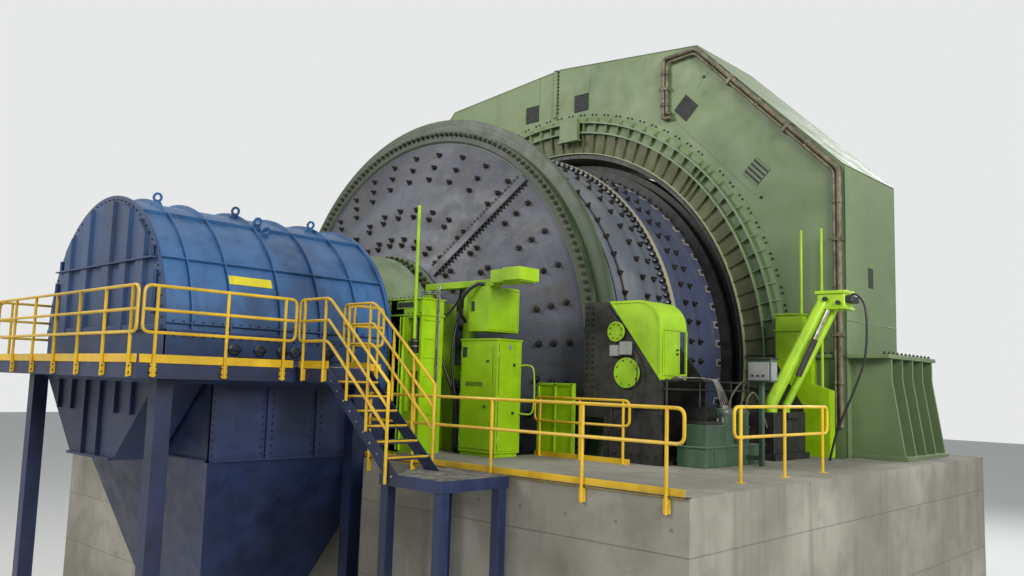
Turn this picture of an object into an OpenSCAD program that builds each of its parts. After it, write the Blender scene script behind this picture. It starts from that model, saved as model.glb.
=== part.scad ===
// Grinding mill turned by a ring motor, from the ground up to the top of the motor.
// The mill turns about an axis along Y. The discharge end is at -Y, the feed end at +Y.
// Heights are above the ground, and y = 0 is the front face of the brake disc.

/* [Levels] */
// Height of the mill's axis above the ground
axis_h = 8600; // [8500:50:9400]
// Height of the operating floor, the top of the concrete piers
floor_h = 6700; // [6600:50:6800]
// Height of the walkway round the discharge hood
deck_h = 8160; // [8060:20:8260]

/* [Drum] */
// Outer radius of the drum's shell
shell_r = 4950; // [4900:10:5000]
// Thickness of the shell plate with its liners
shell_t = 150; // [80:10:220]
// Length of the front course of the shell
front_course = 2780; // [2600:20:2900]
// Length of the whole shell between the two heads
shell_len = 7750; // [7700:10:7900]
// Outer radius of the bolted end flanges
flange_r = 5110; // [5080:10:5140]
// Thickness of an end flange of the shell
flange_t = 150; // [100:10:180]
// Outer radius of the flanges in the middle of the shell
mid_flange_r = 5075; // [5040:5:5100]
// Thickness of a flange in the middle of the shell
mid_flange_t = 70; // [50:5:90]
// Outer radius of the brake disc
disc_r = 5400; // [5350:10:5430]
// Thickness of the brake disc
disc_t = 160; // [120:10:180]

/* [Heads and trunnions] */
// Thickness of the rim of a head
rim_t = 140; // [100:10:180]
// Width of the bolted rim of a head
rim_w = 235; // [200:5:260]
// Rise of the cone of a head over its run
cone_rise = 940; // [860:10:980]
// Thickness of the cone plate of a head
cone_t = 130; // [90:10:160]
// Radius of the ring where a trunnion is bolted to its head
trunnion_flange_r = 2110; // [2090:10:2150]
// Thickness of that ring
trunnion_flange_t = 90; // [70:5:110]
// Outer radius of the trunnion journal
journal_r = 1900; // [1850:10:1950]
// Wall of a trunnion
trunnion_t = 330; // [250:10:400]
// Running gap between a journal and its bearing
journal_gap = 0.5; // [0.4:0.05:0.6]
// Direction of the joint between the two halves of a head, above the horizontal
joint_deg = 49; // [40:1:60]

/* [Motor] */
// Distance from the brake disc's front to the front of the motor housing
motor_y = 4700; // [4660:10:4740]
// Width of the motor housing along the axis
motor_w = 2800; // [2700:20:2850]
// Half of the motor housing's width across the mill
motor_half_w = 7890; // [7850:10:7930]
// Height of the ridge of the housing over the axis
motor_ridge = 8090; // [8000:10:8200]
// Height of the housing's upper corners over the axis
motor_top = 7700; // [7650:10:7900]
// Half of the width between the housing's upper corners
motor_corner_x = 4290; // [4200:10:4400]
// Height over the axis where the sloped sides meet the upright sides
motor_side_z = 4180; // [4100:10:4260]
// Radius of the opening through the motor housing
motor_bore_r = 5480; // [5470:5:5500]
// Number of ribs round the collar
collar_ribs = 72; // [48:6:84]
// Outer radius of the ribs of the collar
collar_r = 6580; // [6500:10:6650]
// Outer radius of the seal ring inside the collar
seal_r = 5640; // [5600:10:5700]
// How far the collar stands out of the housing
collar_out = 170; // [120:10:200]
// Outer radius of the rotor ring
rotor_r = 5350; // [5320:5:5380]

/* [Hood] */
// Outer radius of the discharge hood
hood_r = 2330; // [2280:10:2380]
// Distance of the hood's end plate in front of the brake disc
hood_end_y = 7100; // [7000:20:7200]
// Distance of the hood's rear ring in front of the brake disc
hood_rear_y = 2860; // [2800:5:2880]
// Plate thickness of the hood
hood_t = 20; // [12:2:30]
// Number of hoop ribs between the hood's ends
hood_hoops = 5; // [3:1:7]
// How far the ribs stand out of the hood
hood_rib = 70; // [50:5:90]

/* [Walkway] */
// Half of the walkway's width across the hood
deck_half_w = 3050; // [2950:10:3150]
// Clear width of the walkway beside the hood
deck_end_y = 7800; // [7780:20:8000]
// Depth of the walkway's edge channel
channel_h = 240; // [200:10:260]
// Height of the guardrail above the walkway
rail_h = 1066; // [1000:2:1100]
// Diameter of a guardrail pipe
rail_d = 48; // [38:1:60]
// Width of the stair
stair_w = 790; // [700:10:900]

/* [Hidden] */

// Small play between flat pieces of different make
seat = 0.3;
// Play between the bolted faces of a head and its trunnion
face_play = 0.05;
mill_z = axis_h;
drum_back = shell_len;
rim_in = flange_r - rim_w;
trunnion_face = -rim_t - cone_rise;

sage = [0.52, 0.60, 0.48];
slate = [0.33, 0.36, 0.45];
lime = [0.62, 0.85, 0.05];
deep_blue = [0.10, 0.22, 0.50];
yellow = [0.85, 0.65, 0.10];
concrete = [0.62, 0.62, 0.60];
dark = [0.12, 0.12, 0.11];

// Turns a shape drawn about Z so that it lies about the mill's axis, with Z along +Y
module about_axis() {
    translate([0, 0, mill_z]) rotate([-90, 0, 0]) children();
}

// A ring about the mill's axis, from radius r0 to r1, from y0 to y1
module ring(r0, r1, y0, y1, fn = 180) {
    about_axis() translate([0, 0, y0]) difference() {
        cylinder(h = y1 - y0, r = r1, $fn = fn);
        translate([0, 0, -1]) cylinder(h = y1 - y0 + 2, r = r0, $fn = fn);
    }
}

// An outline in x and height over the axis, as a plate from y0 to y1
module slab_y(y0, y1) {
    translate([0, y1, mill_z]) rotate([90, 0, 0]) linear_extrude(y1 - y0) children();
}

// A box from its low corner to its high corner
module block(low, high) {
    translate(low) cube(high - low);
}

// A straight pipe from p to q
module rod(p, q, d, fn = 8) {
    v = q - p;
    len = norm(v);
    translate(p) rotate([0, acos(v[2] / len), atan2(v[1], v[0])])
        cylinder(h = len, d = d, $fn = fn);
}

// A run of pipe through several points. Each length runs a little past its bends.
module pipe_run(points, d, fn = 8) {
    last = len(points) - 2;
    for (i = [0 : last]) {
        along = (points[i + 1] - points[i]) / norm(points[i + 1] - points[i]);
        over = d / 4;
        rod(points[i] - (i > 0 ? along * over : 0 * along),
            points[i + 1] + (i < last ? along * over : 0 * along), d, fn);
    }
}

// The right-hand piece and its mirror image on the left
module both_sides() {
    children();
    mirror([1, 0, 0]) children();
}

/* Concrete */
pier_in = 5650;
pier_out = 8050;
pier_front = -1500;
stair_pier_front = -5400;
pier_back = 4250;
cross_front = -2800;
cross_back = -1400;
motor_pier_in = 7950;
motor_pier_out = 9450;
motor_pier_back = 8150;
feed_pier_half = 3600;
feed_pier_front = drum_back + 1350;
feed_pier_back = drum_back + 3300;
raft_h = 600;
recess_deep = 600;
bearing_half = 2650;

// A cross pier with a recess in its top for the foot of a bearing
module cross_pier(half, front, back) difference() {
    block([-half, front, raft_h], [half, back, floor_h]);
    block([-bearing_half - 50, front - 1, floor_h - recess_deep],
        [bearing_half + 50, back + 1, floor_h + 1]);
}
module foundation_raft() color(concrete) linear_extrude(raft_h) union() {
    translate([-pier_in, cross_front]) square([2 * pier_in, pier_front - cross_front]);
    translate([pier_in, stair_pier_front])
        square([pier_out - pier_in, pier_front - stair_pier_front]);
    translate([-pier_out, pier_front]) square([2 * pier_out, pier_back - pier_front]);
    translate([-motor_pier_out, pier_back])
        square([2 * motor_pier_out, motor_pier_back - pier_back]);
    translate([-feed_pier_half, motor_pier_back])
        square([2 * feed_pier_half, feed_pier_back - motor_pier_back]);
}
module discharge_pier() color(concrete) cross_pier(pier_in, cross_front, cross_back);
module feed_pier() color(concrete)
    cross_pier(feed_pier_half, feed_pier_front, feed_pier_back);
module side_pier_right() color(concrete)
    block([pier_in, stair_pier_front, raft_h], [pier_out, pier_back, floor_h]);
module side_pier_left() color(concrete)
    block([-pier_out, pier_front, raft_h], [-pier_in, pier_back, floor_h]);
module motor_pier_right() color(concrete)
    block([motor_pier_in, pier_back, raft_h], [motor_pier_out, motor_pier_back, floor_h]);
module motor_pier_left() mirror([1, 0, 0]) motor_pier_right();

/* Drum */
module shell_front() color(slate) about_axis() rotate_extrude($fn = 180)
    polygon([[shell_r - shell_t, 0], [flange_r, 0], [flange_r, flange_t],
        [shell_r, flange_t], [shell_r, front_course - mid_flange_t],
        [mid_flange_r, front_course - mid_flange_t], [mid_flange_r, front_course],
        [shell_r - shell_t, front_course]]);

module shell_rear() color(slate) about_axis() rotate_extrude($fn = 180)
    polygon([[shell_r - shell_t, front_course], [mid_flange_r, front_course],
        [mid_flange_r, front_course + mid_flange_t], [shell_r, front_course + mid_flange_t],
        [shell_r, drum_back - flange_t], [flange_r, drum_back - flange_t],
        [flange_r, drum_back], [shell_r - shell_t, drum_back]]);

module brake_disc() color([0.24, 0.33, 0.22]) ring(flange_r, disc_r, 0, disc_t);

// Half of the section of a head in radius and distance out of the shell's end
head_section = [[shell_r - shell_t, 0], [flange_r, 0], [flange_r, rim_t],
    [rim_in, rim_t], [rim_in - 40, rim_t - 60], [trunnion_flange_r, rim_t + cone_rise - 60],
    [trunnion_flange_r, rim_t + cone_rise], [journal_r - trunnion_t, rim_t + cone_rise],
    [journal_r - trunnion_t, rim_t + cone_rise - cone_t],
    [shell_r - shell_t - 120, 0]];

// A bolted flange along the joint of the two halves, on the outside of the cone
joint_flange_t = 90;
joint_flange_h = 70;
module joint_flange(side) {
    shift = side > 0 ? 0 : joint_flange_t;
    translate([0, shift, 0]) rotate([90, 0, 0]) linear_extrude(joint_flange_t)
        polygon([[rim_in - 60, rim_t - 60], [rim_in - 60, rim_t],
            [trunnion_flange_r + 60, rim_t + cone_rise - 90 + joint_flange_h],
            [trunnion_flange_r + 60, rim_t + cone_rise - 120]]);
}

// Half of the discharge head, turned to its side of the joint
module discharge_half(turn) {
    about_axis() rotate([0, 0, turn]) mirror([0, 0, 1]) {
        rotate_extrude(angle = 180, $fn = 360) polygon(head_section);
        joint_flange(-1);
        mirror([1, 0, 0]) joint_flange(-1);
    }
}
module discharge_head_lower() color(slate) discharge_half(-joint_deg);
module discharge_head_upper() color(slate) discharge_half(180 - joint_deg);
module feed_head() color(slate) about_axis() translate([0, 0, drum_back])
    rotate_extrude($fn = 180) polygon(head_section);

// Section of a trunnion in radius and distance out of the head
trunnion_len = 1950;
trunnion_section = [[journal_r - trunnion_t, 0], [trunnion_flange_r, 0],
    [trunnion_flange_r, trunnion_flange_t], [journal_r, trunnion_flange_t],
    [journal_r, trunnion_len], [journal_r - trunnion_t, trunnion_len]];
module discharge_trunnion() color(sage) about_axis() translate([0, 0, trunnion_face - face_play])
    mirror([0, 0, 1]) rotate_extrude($fn = 120) polygon(trunnion_section);
module feed_trunnion() color(sage) about_axis()
    translate([0, 0, drum_back + rim_t + cone_rise + face_play])
    rotate_extrude($fn = 120) polygon(trunnion_section);

rotor_front = motor_y + 150;
rotor_back = motor_y + motor_w - 150;
rotor_flange_r = 5200;
module rotor_ring() color([0.20, 0.22, 0.25]) {
    ring(shell_r, rotor_r, rotor_front + 150, rotor_back);
    ring(shell_r, rotor_flange_r, rotor_front - 100, rotor_front + 150);
}

/* Motor */
motor_bottom = 7700;
motor_low_z = 4180;
housing_outline = [[0, motor_ridge], [motor_corner_x, motor_top],
    [motor_half_w, motor_side_z], [motor_half_w, -motor_low_z],
    [motor_corner_x, -motor_bottom], [-motor_corner_x, -motor_bottom],
    [-motor_half_w, -motor_low_z], [-motor_half_w, motor_side_z],
    [-motor_corner_x, motor_top]];
vent_w = 350;
vent_deep = 60;
vent_places = [[-1070, 7050, 0], [710, 6990, 0]];
diamond_places = [[4000, 6190, 45], [5860, 4290, 45]];
module vents() {
    for (v = concat(vent_places, diamond_places))
        translate([v[0], motor_y + vent_deep - 1, mill_z + v[1]]) rotate([90, 0, 0])
            rotate([0, 0, v[2]]) linear_extrude(vent_deep + 1) square(vent_w, center = true);
}
module motor_housing() color(sage) difference() {
    slab_y(motor_y, motor_y + motor_w) difference() {
        polygon(housing_outline);
        circle(r = motor_bore_r, $fn = 180);
    }
    vents();
}

// The collar round the drum: a seal ring, two thin bands and the ribs
band_t = 20;
band_1_r = 6430;
band_2_r = 6160;
rib_t = 22;
module collar_rib() {
    rotate([90, 0, 0]) linear_extrude(rib_t, center = true)
        polygon([[seal_r - 10, 0], [collar_r, 0], [band_1_r, collar_out],
            [band_2_r, collar_out], [seal_r - 10, collar_out * 0.5]]);
}
// Drawn with the housing's face at z = 0 and the collar rising along +Z
module collar() {
    difference() {
        union() {
            cylinder(h = collar_out * 0.6, r = seal_r, $fn = 180);
            for (r = [band_1_r, band_2_r]) difference() {
                cylinder(h = collar_out - 20, r = r, $fn = 180);
                translate([0, 0, -1]) cylinder(h = collar_out, r = r - band_t, $fn = 180);
            }
            for (i = [0 : collar_ribs - 1]) rotate([0, 0, i * 360 / collar_ribs]) collar_rib();
        }
        translate([0, 0, -1]) cylinder(h = collar_out + 2, r = motor_bore_r, $fn = 180);
    }
}
module front_collar() color(sage) about_axis() translate([0, 0, motor_y])
    mirror([0, 0, 1]) collar();
module rear_collar() color(sage) about_axis() translate([0, 0, motor_y + motor_w]) collar();

box_half = 300;
module collar_box() color(sage)
    block([-box_half, motor_y - collar_out - 60, mill_z + collar_r + 10],
        [box_half, motor_y, mill_z + collar_r + 710]);

pipe_d = 110;
pipe_y = motor_y - pipe_d * 0.7;
pipe_points = [[2400, pipe_y, mill_z + 6500], [2400, pipe_y, mill_z + 7730],
    [motor_corner_x - 60, pipe_y, mill_z + motor_top - 120],
    [motor_half_w - 110, pipe_y, mill_z + motor_side_z - 70],
    [motor_half_w - 110, pipe_y, floor_h + 600]];
// Clips hold the pipe off the housing, at the middle of each run
module motor_pipes() color([0.35, 0.33, 0.27]) {
    pipe_run(pipe_points, pipe_d, 12);
    for (i = [0 : len(pipe_points) - 2]) {
        c = (pipe_points[i] + pipe_points[i + 1]) / 2;
        block([c[0] - 70, pipe_y, c[2] - 70], [c[0] + 70, motor_y, c[2] + 70]);
    }
}

foot_out = 1300;
foot_h = 420;
module motor_feet() color(sage) both_sides() {
    block([motor_half_w, motor_y + 150, floor_h], [motor_half_w + foot_out,
        motor_y + motor_w - 150, floor_h + foot_h]);
}

/* Bearings */
bearing_front = -2740;
bearing_back = -1420;
bearing_top = 950;
cap_gap = 15;
cap_t = 110;
cap_r = journal_r + cap_gap + cap_t;
// The fixed base: a half bore under the journal, and a wider slot over it for the cap
module bearing_base(front, back) color(lime) difference() {
    block([-bearing_half, front, floor_h - recess_deep],
        [bearing_half, back, mill_z + bearing_top]);
    translate([0, front - 1, mill_z]) rotate([-90, 0, 0])
        cylinder(h = back - front + 2, r = journal_r + journal_gap, $fn = 180);
    block([-cap_r - seat, front - 1, mill_z],
        [cap_r + seat, back + 1, mill_z + bearing_top + 1]);
}
module bearing_cap(front, back) color(sage) about_axis() translate([0, 0, front])
    rotate([0, 0, 180]) rotate_extrude(angle = 180, $fn = 120)
        translate([journal_r + cap_gap, 0]) square([cap_t, back - front]);
feed_bearing_front = drum_back + rim_t + cone_rise + (trunnion_face - bearing_back);
feed_bearing_back = feed_bearing_front + bearing_back - bearing_front;
module discharge_bearing() bearing_base(bearing_front, bearing_back);
module discharge_bearing_cap() bearing_cap(bearing_front, bearing_back);
module feed_bearing() bearing_base(feed_bearing_front, feed_bearing_back);
module feed_bearing_cap() bearing_cap(feed_bearing_front, feed_bearing_back);

/* Hood */
hood_front = -hood_end_y;
hood_back = -hood_rear_y;
hood_base = -90;
module half_round(r, y0, y1) {
    slab_y(y0, y1) union() {
        intersection() {
            circle(r = r, $fn = 96);
            translate([-r, 0]) square([2 * r, r]);
        }
        translate([-r, hood_base]) square([2 * r, -hood_base]);
    }
}
module hood_shell() color(deep_blue) {
    difference() {
        half_round(hood_r, hood_front, hood_back);
        translate([0, 0, -1]) half_round(hood_r - hood_t, hood_front - 1, hood_back + 1);
    }
    for (i = [1 : hood_hoops]) {
        y = hood_front + (hood_back - hood_front) * i / (hood_hoops + 1);
        difference() {
            half_round(hood_r + hood_rib, y - 8, y + 8);
            translate([0, 0, -1]) half_round(hood_r - hood_t, y - 9, y + 9);
        }
    }
}
module hood_end_plate() color(deep_blue) half_round(hood_r + 45, hood_front - hood_t, hood_front);
module hood_rear_ring() color(deep_blue) difference() {
    half_round(hood_r + 60, hood_back, hood_back + 100);
    about_axis() translate([0, 0, hood_back - 1])
        cylinder(h = 102, r = journal_r + 30, $fn = 96);
}
body_low = axis_h - 2400;
module hood_body() color(deep_blue) difference() {
    block([-hood_r - 60, hood_front - hood_t, body_low], [hood_r + 60, hood_back, mill_z + hood_base]);
    block([-hood_r + hood_t, hood_front + hood_t, body_low - 1],
        [hood_r - hood_t, hood_back - hood_t, mill_z + hood_base + 1]);
    about_axis() translate([0, 0, hood_back - hood_t - 1])
        cylinder(h = hood_t + 2, r = journal_r + 30, $fn = 96);
}
outlet_half = 900;
outlet_z = axis_h - 4800;
module discharge_hopper() color(deep_blue) difference() {
    hull() {
        block([-hood_r - 60, hood_front - hood_t, body_low - 20], [hood_r + 60, hood_back, body_low]);
        block([-outlet_half, -5900, outlet_z], [outlet_half, -4100, outlet_z + 20]);
    }
    hull() {
        block([-hood_r - 40, hood_front, body_low - 20], [hood_r + 40, hood_back - 20, body_low + 1]);
        block([-outlet_half + 20, -5880, outlet_z - 1], [outlet_half - 20, -4120, outlet_z + 20]);
    }
}
column_w = 250;
module hopper_frame() color(deep_blue) both_sides() {
    for (y = [hood_front - 200, hood_back - 900])
        block([hood_r + 60, y, 0], [hood_r + 60 + column_w, y + column_w, deck_h - channel_h]);
}

/* Walkway */
deck_t = 40;
edge_w = 90;
deck_in = hood_r + 60;
deck_y0 = -deck_end_y;
deck_y1 = -3550;
stair_y0 = -5220;
stair_y1 = stair_y0 + stair_w;
landing_x = 3910;
// One bay of walkway: an edge channel all round under a deck plate
module deck_bay(x0, y0, x1, y1) difference() {
    block([x0, y0, deck_h - channel_h], [x1, y1, deck_h]);
    block([x0 + edge_w, y0 + edge_w, deck_h - channel_h - 1], [x1 - edge_w, y1 - edge_w, deck_h - deck_t]);
}
module walkway() color(deep_blue) {
    deck_bay(deck_in, deck_y0, deck_half_w, deck_y1);
    deck_bay(-deck_half_w, deck_y0, -deck_in, deck_y1);
    deck_bay(-deck_in, deck_y0, deck_in, hood_front - hood_t);
    deck_bay(deck_half_w, stair_y0, landing_x, stair_y1);
}
rail_levels = [rail_h, 730, 400];
post_foot = 12;
rail_off = rail_d / 2 + post_foot;
// A closed guardrail panel from p to q. Its posts stand on plates at the side of the
// channel, which lies on the side that the unit vector n points to.
module rail_panel(p, q, n, posts) {
    for (h = rail_levels) rod(p + [0, 0, h], q + [0, 0, h], rail_d);
    for (e = [p, q]) rod(e + [0, 0, rail_levels[2] - rail_d / 2],
        e + [0, 0, rail_h + rail_d / 2], rail_d);
    for (t = posts) {
        foot = p + t * (q - p);
        rod(foot + [0, 0, -channel_h + 20], foot + [0, 0, rail_h], rail_d);
        post_plate(foot, n);
    }
}
module post_plate(foot, n) {
    c = foot + n * (rail_off / 2);
    w = abs(n[0]) > 0.5 ? [rail_off, 70] : [70, rail_off];
    translate([c[0] - w[0] / 2, c[1] - w[1] / 2, foot[2] - channel_h + 30])
        cube([w[0], w[1], channel_h - 60]);
}
rail_x = deck_half_w + rail_off;
rail_y = deck_y0 - rail_off;
module rail_right() color(yellow)
    rail_panel([rail_x, deck_y0, deck_h], [rail_x, stair_y0 - 90, deck_h], [-1, 0, 0],
        [0.05, 0.5, 0.95]);
module rail_left() color(yellow)
    rail_panel([-rail_x, deck_y0, deck_h], [-rail_x, deck_y1, deck_h], [1, 0, 0],
        [0.05, 0.35, 0.65, 0.95]);
module rail_front() color(yellow)
    rail_panel([-deck_half_w, rail_y, deck_h], [deck_half_w, rail_y, deck_h], [0, 1, 0],
        [0.02, 0.26, 0.5, 0.74, 0.98]);
module rail_rear() color(yellow)
    rail_panel([rail_x, stair_y1 + 150, deck_h], [rail_x, deck_y1, deck_h], [-1, 0, 0],
        [0.15, 0.85]);

step_n = 7;
stair_rise = (deck_h - floor_h) / (step_n + 1);
stair_go = 245;
stair_run = stair_go * (step_n + 1);
stringer_h = 240;
stringer_t = 12;
// The stair goes down from the landing along +X, between two stringers
module stair() color(deep_blue) {
    for (y = [stair_y0 + stringer_t, stair_y1])
        translate([0, y, 0]) rotate([90, 0, 0]) linear_extrude(stringer_t) polygon([
            [landing_x, deck_h - channel_h], [landing_x, deck_h],
            [landing_x + stair_run, floor_h], [landing_x + stair_run - 330, floor_h]]);
    for (i = [1 : step_n])
        block([landing_x + (i - 1) * stair_go, stair_y0 + stringer_t, deck_h - i * stair_rise - 40],
            [landing_x + (i - 1) * stair_go + 230, stair_y1 - stringer_t, deck_h - i * stair_rise]);
}
// A handrail beside the landing and the stair, at y
module stair_rail(y, x0) {
    for (h = rail_levels)
        pipe_run([[x0, y, deck_h + h], [landing_x, y, deck_h + h],
            [landing_x + stair_run - 200, y, floor_h + h + 150]], rail_d);
    for (x = [x0, x0 + 700])
        rod([x, y, x == x0 ? deck_h + rail_levels[2] : deck_h - channel_h + 20],
            [x, y, deck_h + rail_h], rail_d);
    rod([landing_x + stair_run - 200, y, floor_h + 20],
        [landing_x + stair_run - 200, y, floor_h + 150 + rail_h], rail_d);
}
module stair_rails() color(yellow) {
    stair_rail(stair_y0 - rail_off, rail_x + 20);
    stair_rail(stair_y1 + rail_off, rail_x + 20);
    for (x = [rail_x + 720, landing_x + stair_run - 200]) {
        z = x < landing_x ? deck_h : floor_h + 250;
        post_plate([x, stair_y0 - rail_off, z], [0, 1, 0]);
        post_plate([x, stair_y1 + rail_off, z], [0, -1, 0]);
    }
}

/* Brakes */
stand_plate_t = 60;
stand_front = -620;
stand_back = 780;
module stand_plate(y) {
    slab_y(y, y + stand_plate_t) polygon([[5230, 900], [5700, 900], [6900, -480],
        [6900, floor_h - mill_z], [5700, floor_h - mill_z], [5700, -1150], [5230, -1150]]);
}
module brake_stands() color(dark) both_sides() {
    stand_plate(stand_front);
    stand_plate(stand_back);
    block([5700, stand_front, floor_h], [6900, stand_back + stand_plate_t, floor_h + 60]);
}
module brake_calipers() color(dark) both_sides() for (z = [400, -330])
    for (side = [0, 1]) {
        y0 = side == 0 ? stand_front + stand_plate_t : disc_t + 10;
        y1 = side == 0 ? -10 : stand_back;
        translate([5270, y0, mill_z + z]) rotate([-90, 0, 0]) cylinder(h = y1 - y0, r = 110, $fn = 24);
    }
guard_back = 300;
guard_t = 20;
module brake_guards() color(lime) both_sides() difference() {
    slab_y(stand_front, guard_back)
        polygon([[5700, 900], [6500, 900], [6900, 500], [6900, -480]]);
    slab_y(stand_front + guard_t, guard_back - guard_t)
        polygon([[5757, 880], [6490, 880], [6880, 490], [6880, -410]]);
}

/* Lime cabinets at the discharge end */
module control_cabinet() color(lime)
    block([3530, -2080, floor_h], [4450, -1480, floor_h + 2050]);
module cable_arm() color(lime) {
    block([3300, -1700, floor_h], [3480, -1520, mill_z + 1200]);
    block([2700, -1720, mill_z + 1200], [4900, -1480, mill_z + 1350]);
    block([3700, -1950, mill_z + 250], [4500, -1480, mill_z + 1200]);
}
module marker_poles() color(lime) {
    rod([2560, -2000, mill_z + bearing_top], [2560, -2000, mill_z + 2900], 60);
    for (x = [6850, 7150]) rod([x, 4000, floor_h], [x, 4000, mill_z + 2800], 60);
}

/* Feed end */
trunnion_end = drum_back + rim_t + cone_rise + trunnion_len;
module feed_chute() color(deep_blue) {
    block([-1300, feed_pier_back, 0], [1300, feed_pier_back + 2200, mill_z + 2400]);
    about_axis() translate([0, 0, trunnion_end - 90])
        cylinder(h = feed_pier_back - trunnion_end + 200, r = 1200, $fn = 48);
}

foundation_raft();
discharge_pier();
feed_pier();
side_pier_right();
side_pier_left();
motor_pier_right();
motor_pier_left();
shell_front();
shell_rear();
brake_disc();
discharge_head_lower();
discharge_head_upper();
feed_head();
discharge_trunnion();
feed_trunnion();
rotor_ring();
motor_housing();
front_collar();
rear_collar();
collar_box();
motor_pipes();
motor_feet();
discharge_bearing();
discharge_bearing_cap();
feed_bearing();
feed_bearing_cap();
hood_shell();
hood_end_plate();
hood_rear_ring();
hood_body();
discharge_hopper();
hopper_frame();
walkway();
rail_right();
rail_front();
rail_left();
rail_rear();
stair();
stair_rails();
brake_stands();
brake_calipers();
brake_guards();
control_cabinet();
cable_arm();
marker_poles();
feed_chute();
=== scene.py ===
"""Looks of the grinding mill: finishes, bolts, seams and small fittings round its fixed frame."""

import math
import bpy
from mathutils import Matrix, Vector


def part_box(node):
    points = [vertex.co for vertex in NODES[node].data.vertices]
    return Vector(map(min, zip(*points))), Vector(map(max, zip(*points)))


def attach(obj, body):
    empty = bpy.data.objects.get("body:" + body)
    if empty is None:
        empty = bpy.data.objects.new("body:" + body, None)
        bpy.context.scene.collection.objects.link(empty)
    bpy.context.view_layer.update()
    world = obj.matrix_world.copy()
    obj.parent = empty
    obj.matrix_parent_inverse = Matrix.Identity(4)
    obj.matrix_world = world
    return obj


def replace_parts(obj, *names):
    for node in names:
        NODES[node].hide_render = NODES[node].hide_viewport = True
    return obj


bl_info = {
    "name": "Grinding mill looks",
    "version": (1, 0, 0),
    "blender": (4, 5, 0),
    "location": "3D View > Sidebar > Mill",
    "description": "Dresses the packed grinding mill with its finishes, bolts and small fittings",
    "category": "Object",
}

import bmesh
import bpy
import numpy as np
from bpy.props import FloatProperty, FloatVectorProperty, IntProperty, PointerProperty
from mathutils import Matrix, Vector

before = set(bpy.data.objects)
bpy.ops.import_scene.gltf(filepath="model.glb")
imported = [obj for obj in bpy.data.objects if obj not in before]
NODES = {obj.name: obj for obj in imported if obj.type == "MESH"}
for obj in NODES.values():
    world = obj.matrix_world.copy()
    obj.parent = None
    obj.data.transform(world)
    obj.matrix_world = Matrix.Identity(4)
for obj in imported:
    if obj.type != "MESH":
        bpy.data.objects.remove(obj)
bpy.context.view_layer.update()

AXIS_H = (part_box("brake_disc")[0][2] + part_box("brake_disc")[1][2]) / 2
FLOOR_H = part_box("side_pier_right")[1][2]
DECK_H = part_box("walkway")[1][2]
# Places along the axis of the shell's rows of liner bolts
SHELL_ROWS = (1.2, 2.0, 2.42, 3.48, 3.85, 4.62)


def tone(red, green, blue):
    """A colour written as on a paint card, 0 to 255, turned into Blender's linear values."""
    value = np.array([red, green, blue], float) / 255
    linear = np.where(value <= 0.04045, value / 12.92, ((value + 0.055) / 1.055) ** 2.4)
    return (*[float(v) for v in linear], 1.0)


# Shader sheets


class Value:
    """A socket of a shader sheet. Python's operators on it add Math nodes."""

    def __init__(self, sheet, socket):
        self.sheet, self.socket = sheet, socket

    def __add__(self, other):
        return self.sheet.math("ADD", self, other)

    __radd__ = __add__

    def __sub__(self, other):
        return self.sheet.math("SUBTRACT", self, other)

    def __rsub__(self, other):
        return self.sheet.math("SUBTRACT", other, self)

    def __mul__(self, other):
        return self.sheet.math("MULTIPLY", self, other)

    __rmul__ = __mul__

    def __truediv__(self, other):
        return self.sheet.math("DIVIDE", self, other)

    def __rtruediv__(self, other):
        return self.sheet.math("DIVIDE", other, self)


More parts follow.
